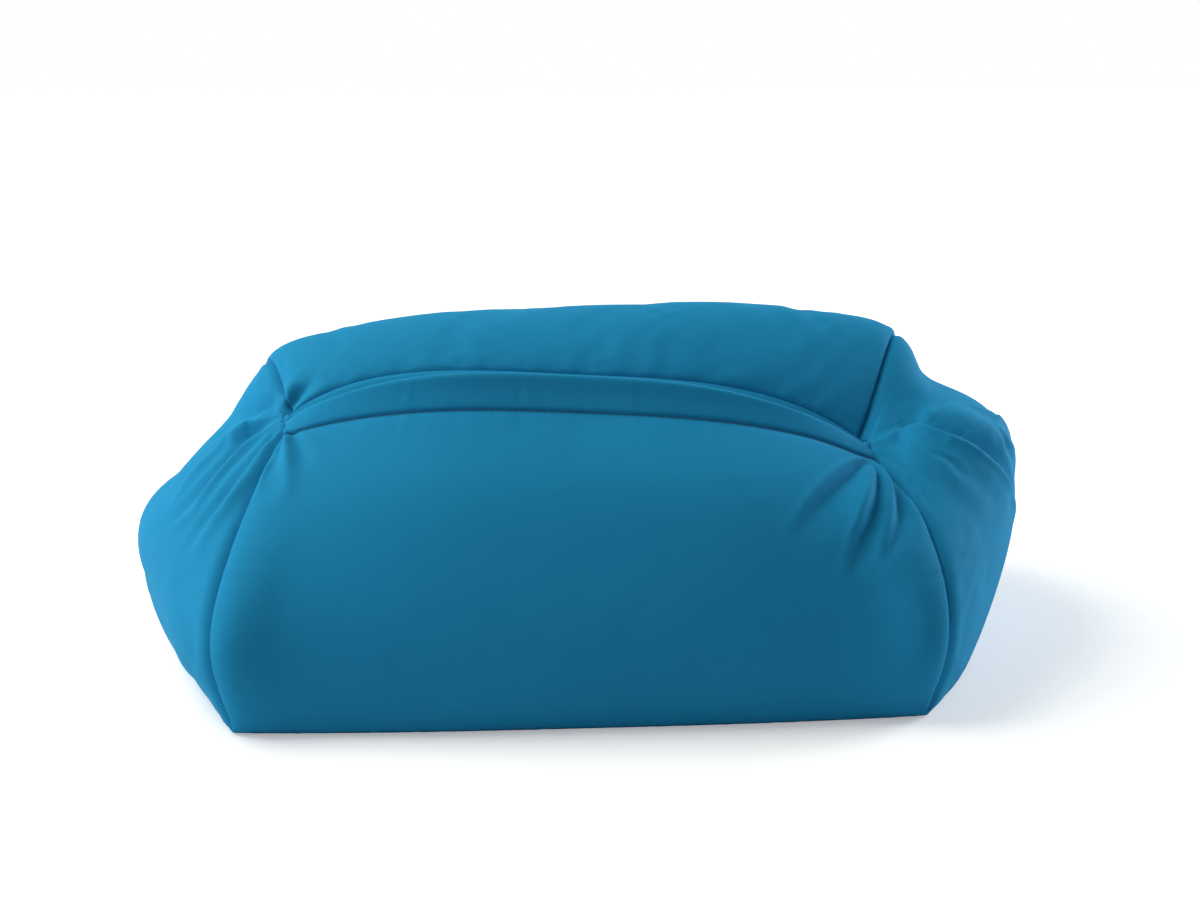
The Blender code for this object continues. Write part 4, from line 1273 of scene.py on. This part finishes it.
def tape_mesh(name, side):
    """One woven tape, a thin flat strip with the cloth's own map in metres."""
    start = TEETH_EDGE + ZIP_GAP
    reach = ZIP_LENGTH / 2 + TAPE_OVERHANG
    corners = rectangle((-reach, side * start), (reach, side * (start + TAPE_WIDTH)))
    outline = arc_corners(corners, TAPE_CORNER)
    mesh = flat_piece(name, [outline], TAPE_THICKNESS, TAPE_ROUNDING, Matrix.Identity(4))
    loops = numbers(mesh.loops, "vertex_index", 1)[:, 0].astype(int)
    cloth_map = numbers(mesh.vertices, "co", 3)[loops][:, :2]
    mesh.uv_layers.new(name="cloth").data.foreach_set("uv", cloth_map.ravel())
    return mesh


def slider_mesh():
    """The slider's two plates, the wedge between them and the bridge that holds the pull."""
    length, width = SLIDER_LENGTH / 2, SLIDER_WIDTH / 2
    neck = (-length * SLIDER_NECK_PLACE, width * SLIDER_NECK)
    half = [(length * SLIDER_SHOULDER_PLACE, width), (length, width * SLIDER_NOSE)]
    half = [(-length, width * SLIDER_TAIL), neck, *half]
    plate = arc_corners([*((x, -y) for x, y in half), *reversed(half)], SLIDER_CORNER)
    middle = SLIDER_ROOM + SLIDER_PLATE / 2
    bridge_end, tunnel_end = length - BRIDGE_INSET, length - TUNNEL_INSET
    bridge = rectangle((-bridge_end, middle), (bridge_end, BRIDGE_TOP))
    tunnel = rectangle((-tunnel_end, SLIDER_ROOM + SLIDER_PLATE), (tunnel_end, TUNNEL_TOP))
    wedge = rectangle((length - WEDGE_LENGTH, -WEDGE_WIDTH / 2), (length, WEDGE_WIDTH / 2))
    upper, lower = (Matrix.Translation((0, 0, height)) for height in (middle, -middle))
    upright = Matrix.Rotation(math.pi / 2, 4, "X")
    outlines = [arc_corners(bridge, BRIDGE_CORNER), tunnel]
    return joined(
        "zip_slider",
        [
            flat_piece("upper_plate", [plate], SLIDER_PLATE, SLIDER_ROUNDING, upper),
            flat_piece("lower_plate", [plate], SLIDER_PLATE, SLIDER_ROUNDING, lower),
            flat_piece("wedge", [wedge], 2 * middle, WEDGE_ROUNDING, Matrix.Identity(4)),
            flat_piece("bridge", outlines, BRIDGE_WIDTH, CAST_ROUNDING, upright),
        ],
    )


def pull_mesh():
    """The pull: a rounded tab with a window for the bridge at its hinge and a hole near its tip."""
    start, shoulder, tip = PULL_START_WIDTH / 2, PULL_SHOULDER_WIDTH / 2, PULL_TIP_WIDTH / 2
    corners = [(PULL_START, -start), (PULL_START, start), (-PULL_SHOULDER, shoulder), (-PULL_TIP, tip)]
    corners += [(-PULL_TIP, -tip), (-PULL_SHOULDER, -shoulder)]
    window = rectangle((-WINDOW_END, -WINDOW_WIDTH / 2), (-WINDOW_START, WINDOW_WIDTH / 2))
    hole = rectangle((-HOLE_END, -HOLE_WIDTH / 2), (-HOLE_START, HOLE_WIDTH / 2))
    outlines = [
        arc_corners(corners, PULL_CORNER),
        arc_corners(window, WINDOW_CORNER),
        arc_corners(hole, HOLE_CORNER),
    ]
    return flat_piece("zip_pull", outlines, PULL_THICKNESS, CAST_ROUNDING, Matrix.Identity(4))


def add_zip(place):
    """The zip's tapes, coils and stops on the bag, and the slider and pull that ride on their own bodies."""
    tape = woven_cloth("woven_polyester_tape", "#1C80AC", "#156489", 0.9 * MM)
    nylon = plain_finish("drawn_nylon_coil", "#2A8CB8", 0.4)
    metal = plain_finish("painted_die_cast_zinc", "#2B7FA6", 0.35, 0.6, 350.0, 0.15)
    stop_start, stop_end = ZIP_LENGTH / 2 - ZIP_GAP - STOP_LENGTH, ZIP_LENGTH / 2 - ZIP_GAP
    for name, side in (("upper", 1), ("lower", -1)):
        mesh = tape_mesh(f"zip_{name}_tape", side)
        mesh.transform(place)
        add_piece(f"zip_{name}_woven_tape", mesh, tape, "root", "zip_tape", f"zip_{name}_tape")
        mesh = thread_mesh(f"zip_{name}_teeth", [coil_path(side)], COIL_WIRE)
        mesh.transform(place)
        add_piece(f"zip_{name}_coil", mesh, nylon, "root", "zip_teeth", f"zip_{name}_teeth")
        stop = rectangle((stop_start, side * TOP_STOP_START), (stop_end, side * TEETH_EDGE))
        outline = arc_corners(stop, TOP_STOP_CORNER)
        mesh = flat_piece(f"zip_{name}_stop", [outline], TEETH_THICKNESS, CAST_ROUNDING, place)
        add_piece(f"zip_{name}_pressed_stop", mesh, metal, "root", "zip_metal", f"zip_{name}_top_stop")
    stop = rectangle((-stop_end, -TEETH_EDGE), (-stop_start, TEETH_EDGE))
    outline = arc_corners(stop, BOTTOM_STOP_CORNER)
    mesh = flat_piece("zip_bottom_stop", [outline], TEETH_THICKNESS, CAST_ROUNDING, place)
    add_piece("zip_pressed_bottom_stop", mesh, metal, "root", "zip_metal", "zip_bottom_stop")
    closed = ZIP_LENGTH / 2 - STOP_LENGTH - 2 * ZIP_GAP - SLIDER_LENGTH / 2
    at_slider = place @ Matrix.Translation((closed, 0, 0))
    mesh = slider_mesh()
    mesh.transform(at_slider)
    add_piece("zip_cast_slider", mesh, metal, "zip_slider", "zip_metal", "zip_slider")
    mesh = pull_mesh()
    mesh.transform(at_slider @ Matrix.Translation((0, 0, HINGE_HEIGHT)))
    add_piece("zip_cast_pull", mesh, metal, "zip_pull", "zip_metal", "zip_pull")


def zip_topstitches(place):
    """Stitches round the slit, which hold the cloth to the tapes."""
    half_x = ZIP_LENGTH / 2 + LIP_ROUNDING + STITCH_INSET
    half_y = ZIP_SLIT / 2 + LIP_ROUNDING + STITCH_INSET
    corners = rectangle((-half_x, -half_y), (half_x, half_y))
    height = TEETH_DEPTH - STITCH_GROOVE
    out = np.array(place.col[2].xyz)
    paths = []
    for (start_x, start_y), (end_x, end_y) in zip(corners, corners[1:] + corners[:1]):
        line = np.linspace((start_x, start_y, height), (end_x, end_y, height), 20)
        paths += stitches(moved(line, place), np.tile(out, (20, 1)), 0)
    return paths


def add_piece(name, mesh, surface, body, slot, *stands_for):
    """A piece of the object that rides on a body and stands for some of the frame's nodes."""
    piece = bpy.data.objects.new(name, mesh)
    bpy.context.scene.collection.objects.link(piece)
    mesh.materials.append(surface)
    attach(piece, body)
    if stands_for:
        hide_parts(*stands_for)
    return piece


def linear(colour):
    """An sRGB hex value as the linear colour that a shader takes."""
    channels = [int(colour[start : start + 2], 16) / 255 for start in (1, 3, 5)]
    steps = [value / 12.92 if value <= 0.04045 else ((value + 0.055) / 1.055) ** 2.4 for value in channels]
    return (*steps, 1)


def node(tree, kind, links=None, inputs=None, **settings):
    """A shader node with its settings; inputs gives fixed values and links the sockets that feed it."""
    made = tree.nodes.new("ShaderNode" + kind)
    for name, value in settings.items():
        setattr(made, name, value)
    for name, value in (inputs or {}).items():
        made.inputs[name].default_value = value
    for name, source in (links or {}).items():
        tree.links.new(source, made.inputs[name])
    return made


def new_material(name):
    """An empty material and its shader."""
    made = bpy.data.materials.new(name)
    made.use_nodes = True
    return made, made.node_tree, made.node_tree.nodes["Principled BSDF"]


def stretch_knit(name, colour, shade):
    """Knitted polyester stretch jersey: fine ribs of stitches, matt, with a soft bloom where it turns away.

    The real wales are about 0.4 mm apart. They are drawn 1.2 mm apart so that they show in a close view.
    """
    made, tree, shader = new_material(name)
    shader.inputs["Roughness"].default_value = 0.78
    shader.inputs["IOR"].default_value = 1.5
    shader.inputs["Specular IOR Level"].default_value = 0.05
    shader.inputs["Sheen Weight"].default_value = 0.14
    shader.inputs["Sheen Roughness"].default_value = 0.4
    shader.inputs["Sheen Tint"].default_value = linear("#62C3EC")
    place = node(tree, "UVMap", uv_map="cloth").outputs["UV"]
    object_place = node(tree, "TexCoord").outputs["Object"]
    split = node(tree, "SeparateXYZ", {0: place})
    wale = node(tree, "Math", {0: split.outputs["X"]}, {1: 1 / KNIT_WALE}, operation="MULTIPLY").outputs[0]
    course = node(tree, "Math", {0: split.outputs["Y"]}, {1: 1 / KNIT_COURSE}, operation="MULTIPLY")
    across = node(tree, "Math", {0: wale}, operation="FRACT").outputs[0]
    arm = node(tree, "Math", {0: across}, {1: 0.5}, operation="SUBTRACT").outputs[0]
    arm = node(tree, "Math", {0: arm}, operation="ABSOLUTE").outputs[0]
    slant = node(tree, "Math", {0: arm, 1: course.outputs[0]}, operation="ADD").outputs[0]
    turn = node(tree, "Math", {0: slant}, {1: math.tau}, operation="MULTIPLY").outputs[0]
    stitch = node(tree, "Math", {0: turn}, operation="SINE").outputs[0]
    groove = node(tree, "Math", {0: across}, {1: math.pi}, operation="MULTIPLY").outputs[0]
    groove = node(tree, "Math", {0: groove}, operation="SINE").outputs[0]
    ribs = node(tree, "Math", {0: stitch, 1: groove}, {2: 0.0}, operation="MULTIPLY").outputs[0]
    fuzz = node(tree, "TexNoise", {"Vector": object_place}, {"Scale": 900.0, "Detail": 2.0}).outputs["Fac"]
    height = node(tree, "Math", {0: fuzz, 2: ribs}, {1: 0.8}, operation="MULTIPLY_ADD").outputs[0]
    bump = node(tree, "Bump", {"Height": height}, {"Strength": 0.12, "Distance": 0.0003})
    tree.links.new(bump.outputs["Normal"], shader.inputs["Normal"])
    # Dye takes unevenly over a hand's width; painted shade darkens the cloth in the grooves between the
    # knit's ribs and in the valleys of its seams
    patches = node(tree, "TexNoise", {"Vector": object_place}, {"Scale": 14.0, "Detail": 3.0}).outputs["Fac"]
    gap = node(tree, "Attribute", attribute_name="seam_gap").outputs["Fac"]
    painted_seam_shade = node(tree, "MapRange", {"Value": gap}, {1: 0.0, 2: 0.0022, 3: 1.0, 4: 0.0}).outputs["Result"]
    dye = node(tree, "MapRange", {"Value": patches}, {1: 0.3, 2: 0.7, 3: 0.0, 4: 0.22}).outputs["Result"]
    # Painted shade: the knit is darker in the low grooves between its ribs
    stitch_shade = node(tree, "MapRange", {"Value": ribs}, {1: -1.0, 2: 1.0, 3: 0.1, 4: 0.0})
    dye_and_painted_shade = node(tree, "Math", {0: dye, 1: stitch_shade.outputs["Result"]}, operation="ADD").outputs[0]
    # Painted shade: the cloth darkens within a few millimetres of each seam's valley
    dye_and_painted_shade = node(tree, "Math", {0: painted_seam_shade, 2: dye_and_painted_shade}, {1: 0.5}, operation="MULTIPLY_ADD", use_clamp=True)
    mixed = node(
        tree,
        "MixRGB",
        {"Fac": dye_and_painted_shade.outputs[0]},
        {"Color1": linear(colour), "Color2": linear(shade)},
    )
    tree.links.new(mixed.outputs["Color"], shader.inputs["Base Color"])
    return made


def bead_finish(name, colour, shade):
    """Loose expanded polystyrene beads about 2.5 mm across, packed so that each one shows as a bump."""
    made, tree, shader = new_material(name)
    shader.inputs["Roughness"].default_value = 0.6
    place = node(tree, "TexCoord").outputs["Object"]
    round_beads = node(tree, "TexVoronoi", {"Vector": place}, {"Scale": 400.0}).outputs["Distance"]
    bump = node(tree, "Bump", {"Height": round_beads}, {"Strength": 0.8, "Distance": 0.001}, invert=True)
    tree.links.new(bump.outputs["Normal"], shader.inputs["Normal"])
    # Painted shade: each bead is darker away from its middle, deepest in the gaps between the beads
    deep = node(tree, "MapRange", {"Value": round_beads}, {1: 0.2, 2: 0.7, 3: 0.0, 4: 1.0}).outputs["Result"]
    tint = node(tree, "MixRGB", {"Fac": deep}, {"Color1": linear(colour), "Color2": linear(shade)})
    tree.links.new(tint.outputs["Color"], shader.inputs["Base Color"])
    return made


def woven_cloth(name, colour, shade, pitch):
    """Plain woven cloth or tape: threads that pass over and under each other, which glint in tiny squares.

    The real threads are about 0.25 mm apart. They are drawn at the given pitch, so that they show close up.
    """
    made, tree, shader = new_material(name)
    shader.inputs["Roughness"].default_value = 0.8
    shader.inputs["Specular IOR Level"].default_value = 0.2
    place = node(tree, "UVMap", uv_map="cloth").outputs["UV"]
    split = node(tree, "SeparateXYZ", {0: place})
    threads = []
    for axis in "XY":
        turn = node(tree, "Math", {0: split.outputs[axis]}, {1: math.pi / pitch}, operation="MULTIPLY")
        threads.append(node(tree, "Math", {0: turn.outputs[0]}, operation="SINE").outputs[0])
    weave = node(tree, "Math", {0: threads[0], 1: threads[1]}, operation="MULTIPLY").outputs[0]
    place = node(tree, "TexCoord").outputs["Object"]
    slubs = node(tree, "TexNoise", {"Vector": place}, {"Scale": 500.0, "Detail": 3.0}).outputs["Fac"]
    height = node(tree, "Math", {0: weave, 1: slubs}, operation="ADD").outputs[0]
    bump = node(tree, "Bump", {"Height": height}, {"Strength": 0.35, "Distance": 0.0003})
    tree.links.new(bump.outputs["Normal"], shader.inputs["Normal"])
    # Painted shade: the cloth is darker where its threads and slubs lie low and lighter where they stand up
    deep = node(tree, "MapRange", {"Value": height}, {1: 1.6, 2: -0.6, 3: 0.0, 4: 1.0}).outputs["Result"]
    tint = node(tree, "MixRGB", {"Fac": deep}, {"Color1": linear(colour), "Color2": linear(shade)})
    tree.links.new(tint.outputs["Color"], shader.inputs["Base Color"])
    return made


def plain_finish(name, colour, roughness, metallic=0.0, scale=600.0, strength=0.1):
    """A finish with a fine uneven grain."""
    made, tree, shader = new_material(name)
    shader.inputs["Roughness"].default_value = roughness
    shader.inputs["Metallic"].default_value = metallic
    place = node(tree, "TexCoord").outputs["Object"]
    grain = node(tree, "TexNoise", {"Vector": place}, {"Scale": scale, "Detail": 3.0}).outputs["Fac"]
    bump = node(tree, "Bump", {"Height": grain}, {"Strength": strength, "Distance": 0.0003})
    tree.links.new(bump.outputs["Normal"], shader.inputs["Normal"])
    tint = node(tree, "MixRGB", {"Fac": grain}, {"Color1": linear(colour), "Color2": linear(colour)})
    tint.inputs["Color2"].default_value = [value * 0.8 for value in linear(colour)[:3]] + [1]
    tree.links.new(tint.outputs["Color"], shader.inputs["Base Color"])
    return made


def add_cover(skin):
    """The sewn panels of the cover and the pocket; returns the sheets that each is made of."""
    side = ("plain", "plain", "floor", "topstitched")
    front = Sheet(skin, "walls", (0, LONG_CELLS), (0, HEM_ROW), side, 1)
    hem = Sheet(
        skin, "walls", (0, LONG_CELLS), (HEM_ROW, THROAT_ROW), ("plain", "plain", "hem_edge", "pocket"), 2
    )
    end_seams = ("shaded", "shaded", "floor", "pocket")
    right = Sheet(skin, "walls", (LONG_CELLS, BACK_START), (0, MOUTH_ROW), end_seams, 3)
    left = Sheet(skin, "walls", (BACK_END, COLUMNS), (0, MOUTH_ROW), end_seams, 4)
    back_seams = ("plain", "plain", "floor", "pocket")
    back = Sheet(skin, "walls", (BACK_START, BACK_END), (0, MOUTH_ROW), back_seams, 5)
    base = Sheet(skin, "base", (0, LONG_CELLS), (0, END_CELLS), ("floor",) * 4, 6)
    turned = ("turned", "turned", "pocket", "turned")
    front_wall = Sheet(skin, "walls", (0, LONG_CELLS), (THROAT_ROW, FLOOR_ROW), turned, 7)
    front_right = Sheet(skin, "walls", (LONG_CELLS, RIGHT_MIDDLE), (MOUTH_ROW, FLOOR_ROW), turned, 8)
    front_left = Sheet(skin, "walls", (LEFT_MIDDLE, COLUMNS), (MOUTH_ROW, FLOOR_ROW), turned, 9)
    back_wall = Sheet(skin, "walls", (RIGHT_MIDDLE, LEFT_MIDDLE), (MOUTH_ROW, FLOOR_ROW), turned, 10)
    middle = END_CELLS / 2
    front_floor = Sheet(skin, "floor", (0, LONG_CELLS), (0, middle), ("turned",) * 4, 11)
    back_floor = Sheet(skin, "floor", (0, LONG_CELLS), (middle, END_CELLS), ("turned",) * 4, 12)
    return {
        "front_panel": [front],
        "pocket_hem": [hem],
        "right_end_panel": [right],
        "left_end_panel": [left],
        "back_panel": [back],
        "base_panel": [base],
        "pocket_front_lining": [front_wall, front_right, front_left, front_floor],
        "pocket_back_lining": [back_wall, back_floor],
    }


def in_front(sheet, column, row):
    """Which faces belong to the front half of the inner bag."""
    if sheet.patch == "walls":
        return (column < RIGHT_MIDDLE) | (column >= LEFT_MIDDLE)
    return row < END_CELLS / 2


def in_back(sheet, column, row):
    return ~in_front(sheet, column, row)


def add_object(skin):
    """Every piece of the object, each standing for its plain node of the frame."""
    knit = stretch_knit("stretch_knit_polyester", "#1F89B8", "#1776A5")
    cotton = woven_cloth("plain_woven_cotton", "#E8E6DF", "#C9C6BB", 0.8 * MM)
    beads = bead_finish("expanded_polystyrene_beads", "#F4F4F2", "#D3D3CE")
    thread = plain_finish("polyester_sewing_thread", "#125172", 0.5, 0.0, 1500.0, 0.3)
    place = zip_place()
    cover = add_cover(skin)
    flatten(cover["back_panel"][0], place)
    for name, sheets in cover.items():
        mesh = cover_mesh(name, sheets)
        if name == "back_panel":
            open_slit(mesh, place)
        add_piece("soft_" + name, mesh, knit, "root", "cover_knit", name)
    everything = [sheet for sheets in cover.values() for sheet in sheets]
    for name, keep in (("inner_bag_front", in_front), ("inner_bag_back", in_back)):
        mesh = cloth_mesh(name, everything, BAG_SHEET_DEPTH, ZIP_WELL_DEPTH, BAG_STRIDE, keep)
        add_piece("soft_" + name, mesh, cotton, "root", "inner_cotton", name)
    mesh = cloth_mesh("bead_fill", everything, BEAD_SHEET_DEPTH, ZIP_WELL_DEPTH, BEAD_STRIDE)
    filling = add_piece("loose_bead_fill", mesh, beads, "root", "beads", "bead_fill")
    hem = cover["pocket_hem"][0]
    paths = stitches(hem.points[0], hem.ways[0], STITCH_END_GAP)
    mesh = thread_mesh("hem_stitches", paths, STITCH_THREAD)
    add_piece("hem_topstitches", mesh, thread, "root", "thread", "hem_stitching")
    mesh = thread_mesh("zip_stitches", zip_topstitches(place), STITCH_THREAD)
    add_piece("zip_topstitches", mesh, thread, "root", "thread")
    add_zip(place)


def seen_directly(tree):
    """A socket that is 1 where the camera sees a place, itself or in a gloss or through glass, and else 0."""
    path = node(tree, "LightPath").outputs
    gloss = {0: path["Is Camera Ray"], 1: path["Is Glossy Ray"]}
    seen = node(tree, "Math", gloss, operation="MAXIMUM").outputs[0]
    glass = {0: seen, 1: path["Is Transmission Ray"]}
    return node(tree, "Math", glass, operation="MAXIMUM").outputs[0]


def add_studio():
    """A pale floor, soft boxes above to the left and low at the left, and a rim light behind to the right."""
    scene = bpy.context.scene
    scene.view_settings.view_transform = "Standard"
    mesh = bpy.data.meshes.new("floor")
    corners = rectangle((-TABLE_REACH, -TABLE_REACH), (TABLE_REACH, TABLE_REACH))
    mesh.from_pydata([(x, y, 0) for x, y in corners], [], [(0, 1, 2, 3)])
    floor = bpy.data.objects.new("floor", mesh)
    scene.collection.objects.link(floor)
    made, tree, shader = new_material("white_table")
    tree.nodes.remove(shader)
    seen = seen_directly(tree)
    diffuse = node(tree, "BsdfDiffuse", inputs={"Color": (0.85, 0.85, 0.85, 1)})
    # Its own glow makes up for the lamps' reach, so that it stays white out to the horizon
    place = node(tree, "TexCoord").outputs["Object"]
    away = node(tree, "VectorMath", {0: place}, operation="LENGTH").outputs["Value"]
    glow = node(tree, "MapRange", {"Value": away}, {1: GLOW_START, 2: GLOW_END, 3: FLOOR_GLOW, 4: 1.0})
    bright = node(tree, "Emission", {"Strength": glow.outputs["Result"]}, {"Color": (1, 1, 1, 1)})
    both = node(tree, "AddShader", {0: diffuse.outputs[0], 1: bright.outputs[0]})
    pick = node(tree, "MixShader", {0: seen, 1: diffuse.outputs[0], 2: both.outputs[0]})
    tree.links.new(pick.outputs[0], tree.nodes["Material Output"].inputs["Surface"])
    mesh.materials.append(made)

    world = bpy.data.worlds.new("studio")
    world.use_nodes = True
    tree = world.node_tree
    seen = seen_directly(tree)
    dim = node(tree, "Background", inputs={"Color": (0.9, 0.95, 1, 1), "Strength": WORLD_STRENGTH})
    white = node(tree, "Background", inputs={"Color": (1, 1, 1, 1), "Strength": 1.0})
    pick = node(tree, "MixShader", {0: seen, 1: dim.outputs[0], 2: white.outputs[0]})
    tree.links.new(pick.outputs[0], tree.nodes["World Output"].inputs["Surface"])
    scene.world = world

    lamps = (
        ("overhead_box", (-0.8, 0.1, 1.25), (0, 0, 0.05), 1.0, 16, "#FFFDF2"),
        ("left_box", (-1.3, 0.0, 0.4), (-0.1, 0, 0.08), 0.9, 8.2, "#F6FCFF"),
        ("right_rim", (1.3, 0.5, 0.45), (0.1, 0, 0.08), 0.7, 15, "#F6FCFF"),
    )
    for name, place, target, size, power, colour in lamps:
        light = bpy.data.lights.new(name, "AREA")
        light.color = linear(colour)[:3]
        light.energy = power
        light.size = size
        lamp = bpy.data.objects.new(name, light)
        scene.collection.objects.link(lamp)
        aim = Vector(target) - Vector(place)
        lamp.matrix_world = Matrix.Translation(place) @ aim.to_track_quat("-Z", "Y").to_matrix().to_4x4()


def add_camera():
    """The camera of the photograph: a little above the cushion and to the left of its middle."""
    data = bpy.data.cameras.new("camera")
    data.sensor_width = CAMERA_SENSOR
    data.lens = CAMERA_LENS
    camera = bpy.data.objects.new("camera", data)
    bpy.context.scene.collection.objects.link(camera)
    aim = Vector(CAMERA_WAY).to_track_quat("-Z", "Y").to_matrix().to_4x4()
    camera.matrix_world = Matrix.Translation(CAMERA_PLACE) @ aim
    bpy.context.scene.camera = camera


skin = Skin()
skin.moves = cloth_moves(skin)
add_object(skin)
bpy.data.objects.remove(skin.cage_object)
add_studio()
add_camera()
